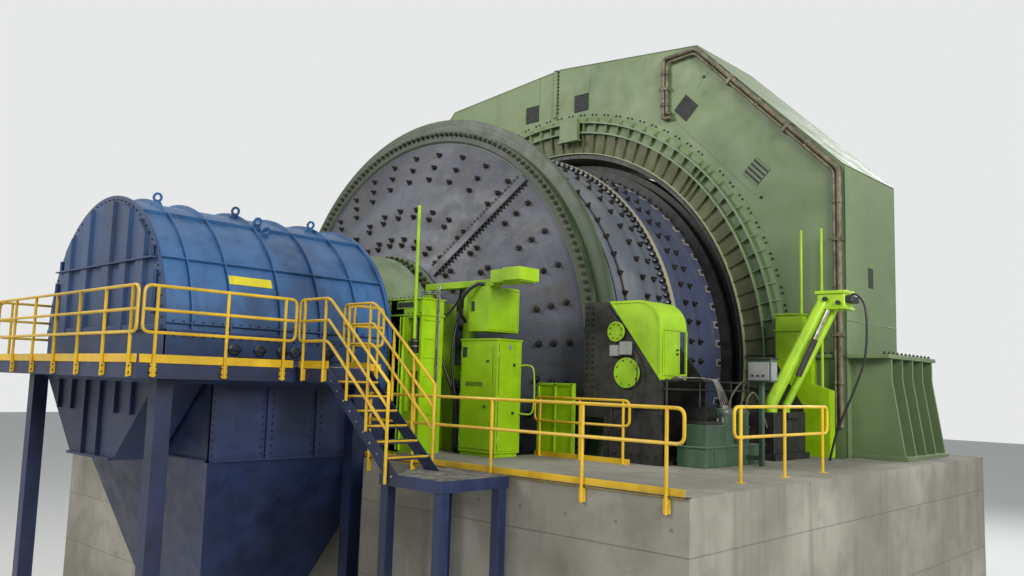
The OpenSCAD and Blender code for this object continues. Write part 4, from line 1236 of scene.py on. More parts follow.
class MILL_OT_side_forms(bpy.types.Operator):
    """Brake guards, oil unit, cabinet, cable arm and service jib"""

    bl_idname = "mill.side_forms"
    bl_label = "Guards, cabinets and jib"

    def execute(self, context):
        guard, unit, cabinet, arm, jib, stand = piles(6)
        front, back, skin = BRAKE_FACE, 0.17, 0.02
        out, low, top_x, top, bend = 6.88, -0.48, 5.8, 0.9, 0.46

        def outline(t):
            """The guard's edge, t inside its outer face, from its low corner round the bend."""
            a = np.radians(np.linspace(0, 90, 13))
            turn = np.stack([out - bend + (bend - t) * np.sin(a),
                             top - bend + (bend - t) * np.cos(a)], -1)
            return np.vstack([[[out - t, low + 1.8 * t], [top_x + 1.8 * t, top - t]], turn])

        roof = np.vstack([outline(0)[1:], outline(skin)[1:][::-1]])
        ring = np.vstack([outline(0), outline(0)[:1], outline(0.04)[:1], outline(0.04)[::-1]])
        for side in BOTH:
            prism(guard, outline(0) * [side, 1], front, front + skin)
            prism(guard, roof * [side, 1], front + skin, back)
            prism(guard, ring * [side, 1], front - 0.015, front)
            for x, z, radius in COVERS:
                turned(guard, from_axis(side * x, front, z), FORE,
                       [[radius, 0.0], [radius, 0.04]], 40)
        # Outer sheet round its window, and the low guard beside the pit
        high, inner, (z0, z1), (y0, y1) = top - bend, out - skin, (-0.36, 0.37), (-0.07, back - 0.03)
        blocks(guard, ([inner, front + skin, low], [out, y0, high]),
               ([inner, y1, low], [out, back, high]), ([inner, y0, low], [out, y1, z0]),
               ([inner, y0, z1], [out, y1, high]),
               ([4.29, -0.8, GROUND], [5.15, -0.74, GROUND + 1.33]), sides=BOTH, chamfer=0.001)
        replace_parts(guard.make("brake_guard_sheets", "lime"), "brake_guards")

        g = GROUND
        blocks(unit, ([7.0, -0.3, g], [7.55, 1.75, g + 0.33]),
               ([7.08, -0.15, g + 0.329], [7.48, 0.45, g + 0.7]),
               ([7.78, 1.08, g], [7.86, 1.16, -0.44]), ([7.6, 1.0, -0.45], [8.05, 1.25, -0.04]),
               ([7.549, 1.09, g + 0.1], [7.79, 1.15, g + 0.18]), chamfer=0.008)
        turned(unit, from_axis(TANK_X, TANK_Y, g + 0.329), UP,
               [[0.18, 0.0], [0.18, 0.56], [0.165, 0.61], [0.12, 0.64]], 32)
        unit.make("oil_unit", "unit")

        (x0, x1), (y0, y1), high = CABINET_X, CABINET_Y, g + 2.05
        blocks(cabinet, ([x0 + 0.03, y0 + 0.03, g], [x1 - 0.03, y1 - 0.03, g + 0.07]),
               ([x0, y0, g + 0.069], [x1, y1, high]),
               ([x0 - 0.015, y0 - 0.015, high - 0.001], [x1 + 0.015, y1 + 0.015, high + 0.03]),
               ([x0 + 0.04, y0 - 0.014, g + 0.13], [x1 - 0.11, y0 + 0.001, high - 0.09]),
               ([x1 - 0.001, y0 + 0.05, g + 0.11], [x1 + 0.012, y1 - 0.05, high - 0.06]))
        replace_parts(cabinet.make("lime_cabinet", "lime"), "control_cabinet")

        z, y = 1.14, -1.97
        blocks(arm, ([2.34, y, 0.9], [2.46, y + 0.13, z + 0.001]),
               ([2.34, y, z], [4.2, y + 0.22, z + 0.12]),
               ([4.18, y - 0.08, z + 0.04], [4.9, y + 0.37, z + 0.27]),
               ([4.5, y - 0.11, z + 0.06], [4.93, y + 0.4, z + 0.29]),
               ([3.6, y - 0.03, 0.32], [4.12, y + 0.77, z + 0.001]),
               ([2.68, y + 0.02, -0.56], [3.23, y + 0.17, -0.3]),
               ([3.2, y + 0.13, -0.47], [3.42, y + 0.19, -0.4]),
               ([2.99, -2.815, 0.875], [3.09, -2.765, 0.9]),
               ([2.99, -2.815, 0.58], [3.09, -2.765, 0.605]), chamfer=0.006)
        turned(arm, from_axis(3.38, y + 0.22, g), UP, [[0.12, 0.0], [0.12, z - g]], 32)
        tube(arm, from_axis(3.04, -2.8, [0.15, 2.6]), 0.03, 12)
        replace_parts(arm.make("cable_arm_frame", "lime"), "cable_arm", "marker_poles")

        y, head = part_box("motor_pier_right")[0][1] - 0.03, g + 0.9
        prism(jib, [[6.55, 1.01], [7.11, 1.01], [7.33, 0], [7.33, -0.43], [7.71, -0.56], [7.71, g],
                    [7.16, g], [7.16, -0.9], [6.9, -0.5], [6.56, 0]], y, y + 0.25)
        for level in (1.0, 0.66):
            blocks(jib, ([6.52, y - 0.03, level], [7.15, y + 0.251, level + 0.03]))
        for x, low in ((7.07, 0.96), (7.51, -0.52)):
            tube(jib, from_axis(x, y + 0.125, [low, 2.8]), 0.03, 12)
        for x, y, rise, bend, radius, sides in (
                ((7.23, 8.0), (2.64, 3.4), (0.16, 1.25), 0.08, 0.12, 20),
                ((7.41, 8.15), (2.9, 3.54), (0.12, 1.1), 0.06, 0.075, 16)):
            path = from_axis([x[0], *x], [y[0], *y], [head, head + rise[0], rise[1]])
            tube(jib, rounded(path, bend), radius, sides)
        blocks(jib, ([7.87, 3.28, 1.02], [8.42, 3.7, 1.35]), chamfer=0.02)
        jib.make("service_jib_frame", "lime")
        blocks(stand, ([6.5, 2.3, g], [7.5, 3.75, g + 0.12]),
               ([6.56, 2.36, g + 0.119], [7.44, 3.69, head]),
               ([7.3, 2.8, head - 0.12], [7.52, 3.3, head]), chamfer=0.01)
        stand.make("jib_pedestal", "dark")
        return {"FINISHED"}


class MILL_OT_head_bolts(bpy.types.Operator):
    """Liner bolts of both heads and the bolts of the discharge head's joint"""

    bl_idname = "mill.head_bolts"
    bl_label = "Head bolts"

    def execute(self, context):
        sizes = context.scene.mill_sizes
        rows = np.arange(sizes.liner_rows) * 360 / sizes.liner_rows + 2.5
        slope = math.atan2(CONE_RISE, RIM_R - TRUNNION_R)
        for name, way, middle in (("head_liner_bolts", -1, 0.0), ("feed_liner_bolts", 1, 7.75)):
            pile = Pile()
            out = round_axis(math.sin(slope), rows, way * math.cos(slope)) - [0, 0, AXIS_H]
            for radius in HEAD_RADII:
                at = round_axis(radius, rows, middle - way * cone_y(radius))
                nuts(pile, at, out, sizes.liner_bolt, 0.06, 0.9, 1.4)
            pile.make(name, "nut", "drum")
        pile = Pile()
        radius = spaced(2.3, 4.72, 0.088)
        ridge = -(0.14 + (4.815 - radius) * 0.92 / 2.645)
        for deg in (JOINT_DEG, JOINT_DEG + 180):
            a = math.radians(deg)
            across = np.array([-math.sin(a), 0, math.cos(a)])
            for way in (-1, 1):
                at = round_axis(radius, deg, ridge + 0.034) + across * way * 0.09
                nuts(pile, at, across * way, 0.034, 0.045, 0.9, 1.2)
        pile.make("joint_nuts", "nut", "drum")
        return {"FINISHED"}


class MILL_OT_flange_bolts(bpy.types.Operator):
    """Nuts round the head rims, the shell's flanges and the trunnions"""

    bl_idname = "mill.flange_bolts"
    bl_label = "Flange bolts"

    def execute(self, context):
        sizes = context.scene.mill_sizes
        turn = (np.arange(sizes.flange_bolts) + 0.5) * 360 / sizes.flange_bolts
        coarse = (np.arange(124) + 0.5) * 360 / 124
        rim, flange, studs, trunnion = piles(4)
        for y, way in ((-0.14, -1), (7.89, 1)):
            nuts(rim, round_axis(RIM_NUT_R, turn, y), (0, way, 0), sizes.flange_bolt, 0.055, 0.7)
        for y, way, stud in ((2.71, -1, 0.0), (2.85, 1, 0.3)):
            nuts(flange, round_axis(FLANGE_NUT_R, turn, y), (0, way, 0), sizes.flange_bolt, 0.05, stud)
        nuts(flange, round_axis(4.985, coarse, 5.43), FORE, 0.04, 0.06, 0.8)
        turned(studs, round_axis(FLANGE_NUT_R, turn, 2.71), FORE,
               [[0.027, 0.04], [0.027, 0.09], [0.018, 0.102]], 8)
        turn = (np.arange(72) + 0.5) * 5
        for radius, shift in ((2.055, 0), (1.975, 2.5)):
            for y, way in ((-1.17, -1), (8.92, 1)):
                nuts(trunnion, round_axis(radius, turn + shift, y), (0, way, 0), 0.034, 0.05, 0.8)
        rim.make("rim_nuts", "green_nut", "drum")
        flange.make("flange_nuts", "nut", "drum")
        studs.make("flange_stud_ends", "pale_nut", "drum")
        trunnion.make("trunnion_nuts", "green_nut", "drum")
        return {"FINISHED"}


class MILL_OT_shell_bolts(bpy.types.Operator):
    """Liner bolts of the shell, their square washers and the shell's seams"""

    bl_idname = "mill.shell_bolts"
    bl_label = "Shell bolts"

    def execute(self, context):
        sizes = context.scene.mill_sizes
        turn = np.arange(sizes.shell_rows) * 360 / sizes.shell_rows
        bolts, washers, seams = piles(3)
        for y in SHELL_ROWS:
            at = round_axis(4.95, turn, y)
            nuts(bolts, at, at - [0, y, AXIS_H], sizes.liner_bolt, 0.055, 0.7, 1.4)
        last = SHELL_ROWS[-1]
        at = round_axis(4.962, turn, last)
        side = np.cross(at - [0, last, AXIS_H], [0, 1, 0])
        beams(washers, at - [0, 0.085, 0], at + [0, 0.085, 0], side, 0.17, 0.02)
        for y, half in ((SHELL_ROWS[0], 0.035), (0.876, 0.006), (0.904, 0.006)):
            hoop(seams, 4.945, 4.957, y - half, y + half)
        bolts.make("shell_liner_bolts", "nut", "drum")
        washers.make("shell_square_washers", "grey", "drum")
        seams.make("shell_seams", "dark", "drum")
        return {"FINISHED"}


class MILL_OT_collar_fittings(bpy.types.Operator):
    """Bolts round the seal collars, the screws of their seal and the edges of their bands"""

    bl_idname = "mill.collar_fittings"
    bl_label = "Collar fittings"

    def execute(self, context):
        turn = (QUARTERS + np.arange(1, 26) * RIB_STEP).ravel()
        screws = np.arange(120) * 3.0 + 1.5
        bolts, seal, bands = piles(3)
        for y, way in MOTOR_FACES:
            for shift in (-0.55, 0.55):
                at = round_axis(COLLAR_R + 0.085, turn + shift, y + way * 0.014)
                nuts(bolts, at, (0, way, 0), 0.022, 0.024, 0.7, 1.3)
            nuts(seal, round_axis(5.52, screws, y + way * 0.05), (0, way, 0), 0.014, 0.012, 0, 1.5)
            edge = y + way * BAND_REACH
            for radius in COLLAR_BANDS:
                hoop(bands, radius - 0.03, radius + 0.01, edge, edge + way * 0.012, n=240)
        bolts.make("collar_bolts", "nut")
        seal.make("collar_seal_screws", "nut")
        bands.make("collar_band_edges", "sage")
        return {"FINISHED"}


class MILL_OT_motor_fittings(bpy.types.Operator):
    """Grilles, seams and strip bolts of the motor housing, and the anchors of its feet"""

    bl_idname = "mill.motor_fittings"
    bl_label = "Motor fittings"

    def execute(self, context):
        y, half, diagonal = MOTOR_Y, 0.24, math.sqrt(0.5)
        back, slats, seams, bolts = piles(4)
        for x, z, across, up in ((-1.03, 6.99, (1, 0), (0, 1)), (0.745, 6.98, (1, 0), (0, 1)),
                                 (4.01, 6.18, (diagonal, -diagonal), (diagonal, diagonal)),
                                 (5.87, 4.33, (diagonal, -diagonal), (diagonal, diagonal))):
            across, up = (np.array([v[0], 0, v[1]]) for v in (across, up))
            middle = from_axis(x, y - 0.004, z)
            # Black back sheet of each grille: painted shade of the opening behind the slats
            beams(back, middle - up * half, middle + up * half, across, 2 * half, 0.006, 0.1)
            pile, pitch, deep = (seams, 0.095, 0.055) if x > 5 else (slats, 0.06, 0.03)
            for t in spaced(-half + 0.03, half - 0.03, pitch):
                at = middle + up * t + [0, -0.012, 0]
                beams(pile, at - across * half, at + across * half, up, deep, 0.008)
        for side in BOTH:
            x = MOTOR_X * side
            blocks(back, ([x - 0.004, y + 1.165, 1.685], [x + 0.004, y + 1.445, 2.125]), chamfer=0.001)
        # The grille backs are painted shade, black sheets standing in for the dark openings
        back.make("vent_backs", "black")
        slats.make("vent_slats", "black")

        # Joints between the plates of the front face, from and to in x and height
        lines = np.array([[[-0.77, 7.22], [-0.77, 7.98]], [[1.03, 7.2], [1.03, 7.96]],
                          [[3.32, 6.3], [5.82, 3.8]], [[5.82, 3.8], [6.02, 3.86]],
                          [[4.3, 6.62], [4.66, 6.98]]])
        start, end = (from_axis(lines[:, i, 0], y - 0.001, lines[:, i, 1]) for i in (0, 1))
        beams(seams, start, end, np.cross(end - start, [0, 1, 0]), 0.016, 0.008)
        # Weld beads along the housing's edges and across its roof and sides
        corner = np.array([[0, 8.076], [4.29, 7.69], [7.88, 4.175], [7.88, -1.88]])
        for way in BOTH:
            for along, size in ((0, 0.024), (MOTOR_W, 0.024), (0.9, 0.018), (1.9, 0.018)):
                path = from_axis(way * corner[:, 0], y + along, corner[:, 1])
                beams(seams, path[:-1], path[1:], AFT, size, size)
            for x, z in ((4.29, 7.7), (7.89, 4.18), (7.89, 0.9)):
                start, end = (from_axis(way * x, at, z) for at in (y, y + MOTOR_W))
                beams(seams, start, end, UP, 0.02, 0.02)
        seams.make("housing_seams", "weld")

        level, along = spaced(6.86, 8.02, 0.105), y + spaced(0.12, 2.68, 0.16)
        for x in (-0.235, -0.085):
            for face, way in MOTOR_FACES:
                nuts(bolts, from_axis(x, face, level), (0, way, 0), 0.02, 0.022, 0.6, 1.3)
        for x in (-0.245, -0.075):
            nuts(bolts, from_axis(x, along, 8.071), UP, 0.02, 0.012, 0.2, 1.3)
        for x, z in ((5.98, 3.72), (4.5, 6.86), (3.42, 6.28)):
            nuts(bolts, from_axis(x, y, z), FORE, 0.03, 0.03, 0.6, 1.4)
        for side in BOTH:
            anchors = grid(side * np.array([8.16, 8.7]), y + np.array([0.32, 0.92, 1.6, 2.2, 2.5]),
                           [FLOOR_H + 0.08])
            top = from_axis(side * 8.62, y + spaced(0.05, 2.65, 0.24), 0.2)
            front = from_axis(side * spaced(7.2, 7.56, 0.12), y - 0.03, 0.2)
            nuts(bolts, anchors, UP, 0.05, 0.07, 1.2, 1.6)
            nuts(bolts, top, UP, 0.032, 0.04, 0.6, 1.4)
            nuts(bolts, front, UP, 0.022, 0.03, 0.5)
        bolts.make("housing_bolts", "nut")
        return {"FINISHED"}


class MILL_OT_pipe_fittings(bpy.types.Operator):
    """Couplings of the two pipes on the motor and the bolts of their clips"""

    bl_idname = "mill.pipe_fittings"
    bl_label = "Pipe fittings"

    def execute(self, context):
        sleeves, bolts = piles(2)
        slope = math.sqrt(0.5)
        # Middle of each coupling on the outer pipe in x and height, the pipe's direction there,
        # and the step to the inner pipe
        for x, z, dx, dz, step in ((3.39, 6.35, 0, 1, 0.11), (3.39, 7.15, 0, 1, 0.11),
                                   (4.86, 7.04, slope, -slope, -0.11), (5.96, 5.94, slope, -slope, -0.11),
                                   (7.1, 4.79, slope, -slope, -0.11), (7.78, 3.4, 0, -1, -0.11),
                                   (7.78, 1.5, 0, -1, -0.11), (7.78, -0.4, 0, -1, -0.11)):
            middle = from_axis(x, PIPE_Y, z)
            half = np.array([[dx, 0, dz]]) * 0.045
            inner = middle + step * np.array([[abs(dz) if dx == 0 else slope * 0.95, 0, abs(dx) * 0.95]])
            for at, radius in ((middle, 0.066), (inner, 0.044)):
                tube(sleeves, np.vstack([at - half, at + half]), radius, 14)
        for x, z, deg in PIPE_CLIPS:
            dx, dz = (0.08, 0.08) if deg else (0.115, 0.0)
            at = from_axis([x - dx, x + dx], PIPE_Y - 0.063, [z - dz, z + dz])
            nuts(bolts, at, FORE, 0.01, 0.014, 0.8)
        sleeves.make("pipe_couplings", "conduit", smooth=True)
        bolts.make("pipe_clip_bolts", "nut")
        return {"FINISHED"}


class MILL_OT_hood_fittings(bpy.types.Operator):
    """Bolts, hatches, lugs and the bare tag plate of the discharge hood"""

    bl_idname = "mill.hood_fittings"
    bl_label = "Hood fittings"

    def execute(self, context):
        front, back, wall = HOOD_FRONT, HOOD_BACK, 2.39
        bolts, dark, rim, tag, lug, strip = piles(6)
        along = spaced(front + 0.12, back - 0.1, 0.16)
        hatch = from_axis(wall, np.array([-5.97, -5.52, -5.1, -4.85, -4.2, -3.7]), -0.2)
        for side in BOTH:
            out = (side, 0, 0)
            nuts(bolts, from_axis(side * 2.362, along, 0.18), UP, 0.016, 0.02, 0.6, 1.4)
            nuts(bolts, from_axis(side * wall, along, -0.03), out, 0.016, 0.02, 0.6, 1.4)
            at = grid([side * wall], [-5.38, -5.2, -4.44, -4.26, -6.24],
                      AXIS_H + spaced(-1.85, -0.9, 0.12))
            nuts(bolts, at, out, 0.014, 0.016, 0.5)
            at = hatch * [side, 1, 1]
            turned(dark, at, out, [[0.075, -0.01], [0.075, 0.022], [0.03, 0.026]], 20)
            turned(rim, at, out, [[0.1, -0.01], [0.1, 0.02], [0.078, 0.03], [0.078, 0.01]], 20)
            arm = at + [side * 0.035, 0, 0]
            beams(rim, arm - [0, 0.11, 0], arm + [0, 0.11, 0], UP, 0.03, 0.016)
            nuts(rim, arm + [0, 0.09, 0], out, 0.02, 0.03, 0.8)
            start, end = (from_axis(side * 2.395, y, -0.31) for y in (front + 1.2, back - 0.5))
            beams(rim, start, end, UP, 0.03, 0.03)
        nuts(bolts, from_axis(spaced(-2.2, 2.2, 0.2), front - 0.04, 0.12), FORE, 0.016, 0.02, 0.6)
        deg = spaced(6, 174, 4.2)
        nuts(bolts, round_axis(2.305, deg, front - 0.04), FORE, 0.013, 0.015, 0.5)
        nuts(bolts, round_axis(2.36, deg, back + 0.08), AFT, 0.013, 0.015, 0.5)
        bolts.make("hood_bolts", "nut")
        dark.make("hatch_covers", "black")
        # Hatch rims in the painted shade blue
        rim.make("hatch_rims", "deep")

        low, high = (round_axis(2.337, deg, 0.0) for deg in (21.8, 25.5))
        middle, up = (low + high) / 2, high - low
        beams(tag, middle + [0, -6.01, 0], middle + [0, -5.22, 0], up,
              float(np.linalg.norm(up)) * 1.05, 0.008)
        tag.make("hood_tag_plate", "tag")

        # Direction round the axis and place along it of every lifting lug
        places = np.array([[52, -5.03], [60, -5.03], [74, -5.17], [71, -3.64], [106, -5.17],
                           [109, -3.64], [128, -5.03], [74, -6.62], [106, -6.62]])
        at = round_axis(HOOD_R, places[:, 0], places[:, 1])
        lugs(lug, at, (at - from_axis(0, 0, 0)) * [1, 0, 1], AFT, 0.17, 0.045, 0.024)
        lug.make("hood_lugs", "blue")

        for side in BOTH:
            for x, z0, z1 in ((2.02, 0.3, 0.98), (1.86, 1.22, 1.38)):
                start, end = (from_axis(side * x, front - 0.07, z) for z in (z0, z1))
                beams(strip, start, end, RIGHT, 0.05, 0.06)
        start, end = (from_axis(x, front - 0.06, 0.09) for x in (-2.3, 2.3))
        beams(strip, start, end, UP, 0.09, 0.04)
        # The strips take the darker blue of painted shade
        strip.make("end_plate_strips", "end")
        return {"FINISHED"}


class MILL_OT_walkway_fittings(bpy.types.Operator):
    """Grating, tread edges and bolts of the walkway, the stair and the guardrails"""

    bl_idname = "mill.walkway_fittings"
    bl_label = "Walkway fittings"

    def execute(self, context):
        bars, edges, bolts, pale = piles(4)
        y0, y1 = STAIR_Y[0] + 0.02, STAIR_Y[1] - 0.02
        treads = np.arange(STAIR_STEPS)
        tread_x, tread_z = LANDING_X + treads * TREAD_GO, DECK_H - (treads + 1) * STAIR_RISE

        def grating(x0, y0, x1, y1, z, pitch=0.041):
            """Bearing bars across the shorter side and tie bars along the longer one."""
            across, along = (0, 1) if x1 - x0 < y1 - y0 else (1, 0)
            low, high = np.array([x0, y0, z + 0.006]), np.array([x1, y1, z + 0.006])
            for axis, step, wide in ((along, pitch, 0.012), (across, 0.1, 0.009)):
                at = spaced(low[axis], high[axis], step)
                start, end = np.tile(low, (len(at), 1)), np.tile(high, (len(at), 1))
                start[:, axis] = end[:, axis] = at
                beams(bars, start, end, UP, wide, 0.005)

        grating(2.41, -7.78, 3.03, -3.57, DECK_H)
        grating(-3.03, -7.78, -2.41, -3.57, DECK_H)
        grating(-2.37, -7.78, 2.37, -7.27, DECK_H)
        grating(3.06, y0, 3.89, y1, DECK_H)
        grating(5.28, y0, 6.54, -3.96, FLOOR_H)
        for x, z in zip(tread_x, tread_z):
            grating(x + 0.02, y0, x + 0.215, y1, z, 0.035)
        foot = np.stack([tread_x + 0.235, y0 + 0 * tread_x, tread_z], -1)
        beams(edges, foot, foot + [0, y1 - y0, 0], UP, 0.03, 0.03)

        for _, _, start, end, out, shares in RAIL_RUNS:
            post = posts_of([*start, DECK_H], [*end, DECK_H], shares)
            side = np.cross(out, [0, 0, 1.0]) * 0.046
            for at in (post + side, post - side):
                for drop in (0.07, 0.16):
                    nuts(bolts, at - [0, 0, drop], out, 0.011, 0.012, 0.4, 1.3)
        part = spaced(0.06, 0.94, 0.1)
        at = np.stack([LANDING_X + STAIR_RUN * part - 0.03, STAIR_Y[0] + 0 * part,
                       DECK_H - 0.12 - (DECK_H - FLOOR_H) * part], -1)
        nuts(pale, at, FORE, 0.012, 0.012, 0.6)
        nuts(pale, from_axis(spaced(-2.9, 2.9, 0.97), -7.8, -0.64), FORE, 0.012, 0.012, 0.6)
        bars.make("grating", "steel")
        edges.make("tread_edges", "yellow")
        bolts.make("post_bolts", "nut")
        pale.make("channel_bolts", "pale_nut")
        return {"FINISHED"}


class MILL_OT_cabinet_fittings(bpy.types.Operator):
    """Handles, locks, vents and hinges of the cabinet and the upper box"""

    bl_idname = "mill.cabinet_fittings"
    bl_label = "Cabinet fittings"

    def execute(self, context):
        dark, grey, lime = piles(3)
        front, right = CABINET_Y[0] - 0.015, CABINET_X[1] + 0.013
        blocks(dark, ([3.60, front - 0.012, -0.15], [3.70, front + 0.014, 0.03]),
               ([4.215, front - 0.02, -0.24], [4.265, front + 0.014, -0.20]),
               ([4.165, front - 0.02, -1.04], [4.21, front + 0.014, -1.0]),
               ([3.68, -2.012, 0.69], [3.76, -1.998, 0.87]),
               ([right - 0.012, -1.69, -1.15], [right + 0.02, -1.64, -1.1]),
               ([right - 0.012, -1.68, -0.3], [right + 0.02, -1.63, -0.25]))
        level = spaced(-0.665, -0.6, 0.02)
        start, end = (from_axis(x, front + 0.003, level) for x in (3.68, 4.12))
        beams(dark, start, end, UP, 0.012, 0.012)
        # Dark joints beside both doors
        for x, y, side, high in ((3.567, -2.081, RIGHT, 0.06), (4.343, -2.081, RIGHT, 0.06),
                                 (4.451, -2.034, AFT, 0.08), (4.451, -1.496, AFT, 0.08)):
            beams(dark, from_axis(x, y, -1.77), from_axis(x, y, high), side, 0.008, 0.01)
        blocks(grey, ([right - 0.012, -1.80, 0.0], [right + 0.006, -1.73, 0.08]), chamfer=0.002)
        turned(grey, from_axis(right + 0.004, -1.765, 0.04), RIGHT,
               [[0.024, 0], [0.024, 0.008], [0.012, 0.012]], 16)
        for z in (-0.1, -0.85, -1.6):
            for x, y in ((3.553, front + 0.01), (right - 0.012, -2.036)):
                tube(lime, from_axis(x, y, [z - 0.05, z + 0.05]), 0.012, 8)
        handle = [[4.44, -1.5, -0.29], [4.56, -1.4, -0.27], [4.64, -1.34, -0.33],
                  [4.66, -1.32, -0.6], [4.66, -1.32, -0.9], [4.62, -1.35, -1.13],
                  [4.44, -1.5, -1.13]]
        tube(lime, smooth_path(np.array(handle) + [0, 0, AXIS_H], 48), 0.016, 8)
        # Frame round the end of the upper box
        low, high = (from_axis(4.128, [-1.98, -1.22], z) for z in (0.36, 1.1))
        beams(lime, np.vstack([low[:1], high[:1], low]), np.vstack([low[1:], high[1:], high]),
              RIGHT, 0.018, 0.022)
        dark.make("cabinet_locks", "black")
        grey.make("cabinet_lamp", "grey")
        lime.make("cabinet_hinges", "lime")
        return {"FINISHED"}


class MILL_OT_bearing_fittings(bpy.types.Operator):
    """Bolts, jacks, plates, ribs and oil pipes of the trunnion bearings"""

    bl_idname = "mill.bearing_fittings"
    bl_label = "Bearing fittings"

    def execute(self, context):
        near, behind = (corner[1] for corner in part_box("discharge_bearing"))
        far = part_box("feed_bearing")[1][1]
        dark, bolt, jack, lime, rim = piles(5)
        for face, way, side in ((near, -1, -1), (near, -1, 1), (far, 1, -1), (far, 1, 1)):
            def at(x, deep, z):
                """Places on one post: x outwards, depth out of its face, height."""
                return from_axis(side * np.asarray(x, float), face + way * np.asarray(deep, float), z)

            beams(lime, at(2.46, 0.0, 0.78), at(2.96, 0.0, 0.78), UP, 0.14, 0.016)
            beams(dark, at(2.48, 0.004, 0.78), at(2.94, 0.004, 0.78), UP, 0.10, 0.02)
            for z in (0.605, 0.9):
                nuts(bolt, at(spaced(2.3, 3.14, 0.12), 0.005, z), UP, 0.014, 0.02, 0.7, 1.4)
            nuts(bolt, at(2.36, 0.0, spaced(-1.7, 0.45, 0.2)), (0, way, 0), 0.018, 0.022, 0.6, 1.5)
            tube(jack, at(2.94, -0.08, [0.08, 0.535]), 0.045, 14)
            tube(dark, at(2.94, -0.08, [-0.1, 0.16]), 0.095, 16)
            for z in (0.02, 0.12):
                tube(jack, at(2.94, -0.08, [z - 0.012, z + 0.012]), 0.108, 16)
            for x in (2.6, 2.68):
                beams(lime, at(x, 0.02, -1.86), at(x, 0.02, 0.56), RIGHT, 0.018, 0.045)
            z = spaced(-1.2, 0.5, 0.34)
            beams(lime, at(3.172, -0.06, z), at(3.172, -0.46, z), UP, 0.02, 0.035)
            for x, top in ((3.2, 1.0), (3.24, 1.04)):
                path = at([2.75, x - 0.03, x, x], [-0.3, -0.32, -0.34, -0.34],
                          [top, top - 0.01, 0.9, -1.88])
                tube(jack, smooth_path(path, 24), 0.014, 8)
        for face in (near, behind):
            hoop(rim, 2.0, 2.04, face - 0.02, face + 0.02, (1, 179), 90)
        dark.make("bearing_dark_plates", "black")
        bolt.make("bearing_bolts", "nut")
        jack.make("bearing_jacks", "steel")
        lime.make("bearing_ribs", "lime")
        rim.make("bearing_cap_rims", "sage")
        return {"FINISHED"}


def hose(name, points, diameter, far_end="object"):
    """One black hose through points from the axis."""
    path = smooth_path(np.array(points, float) + [0, 0, AXIS_H], 40)
    pile = Pile()
    tube(pile, path, diameter / 2, 10)
    made = pile.make(name, "rubber", smooth=True)
    if far_end == "fitting":
        sleeve = Pile()
        tube(sleeve, path[[-3, -1]], diameter * 0.7, 16)
        sleeve.make(name + "_end", "steel", smooth=True)


class MILL_OT_hoses(bpy.types.Operator):
    """Black hoses of the cable arm, the brakes and the jib"""

    bl_idname = "mill.hoses"
    bl_label = "Hoses"

    def execute(self, context):
        floor = -1.885
        hose("arm_cable_thick", [[3.95, -1.97, 1.18], [3.84, -2.05, 1.17], [3.64, -2.1, 1.04],
                                 [3.47, -2.09, 0.84], [3.39, -2.0, 0.66], [3.38, -1.86, 0.52],
                                 [3.39, -1.72, 0.46]], 0.07)
        hose("arm_cable_loop", [[3.12, -1.745, 1.185], [3.1, -1.76, 1.02], [3.02, -1.85, 0.8],
                                [2.92, -1.99, 0.58], [2.88, -2.07, 0.34], [2.9, -2.09, 0.08],
                                [3.0, -2.07, -0.22], [3.12, -2.02, -0.52], [3.22, -1.95, -0.86],
                                [3.26, -1.91, -1.3], [3.26, -1.91, floor]], 0.06)
        hose("arm_cable_down", [[3.2, -1.745, 1.185], [3.2, -1.76, 0.95], [3.18, -1.85, 0.6],
                                [3.17, -1.95, 0.2], [3.2, -2.0, -0.2], [3.26, -2.0, -0.6],
                                [3.33, -1.97, -1.1], [3.36, -1.95, floor]], 0.05)
        hose("jib_hose_right", [[8.05, 3.4, floor], [8.2, 3.42, -1.3], [8.5, 3.42, -0.6],
                                [8.72, 3.42, 0.0], [8.78, 3.42, 0.6], [8.74, 3.42, 1.08],
                                [8.58, 3.42, 1.28], [8.43, 3.42, 1.24]], 0.045, "fitting")
        hose("brake_hose", [[6.33, -0.635, 0.04], [6.44, -0.7, -0.1], [6.47, -0.75, -0.5],
                            [6.3, -0.76, -0.92], [6.02, -0.74, -1.2], [5.86, -0.7, -1.5],
                            [5.8, -0.68, floor]], 0.024)
        pipes = Pile()
        for points in ([[7.3, 1.5, -0.945], [7.3, 1.6, -0.74], [7.3, 1.8, -0.64],
                        [7.3, 2.02, -0.78], [7.3, 2.2, -1.05], [7.3, 2.345, -1.3]],
                       [[7.28, 0.95, -0.945], [7.3, 0.97, -0.75], [7.4, 1.02, -0.55],
                        [7.5, 1.05, -0.45], [7.6, 1.06, -0.42]]):
            tube(pipes, smooth_path(np.array(points) + [0, 0, AXIS_H], 32), 0.016, 10)
        pipes.make("unit_pipes", "conduit", smooth=True)
        return {"FINISHED"}


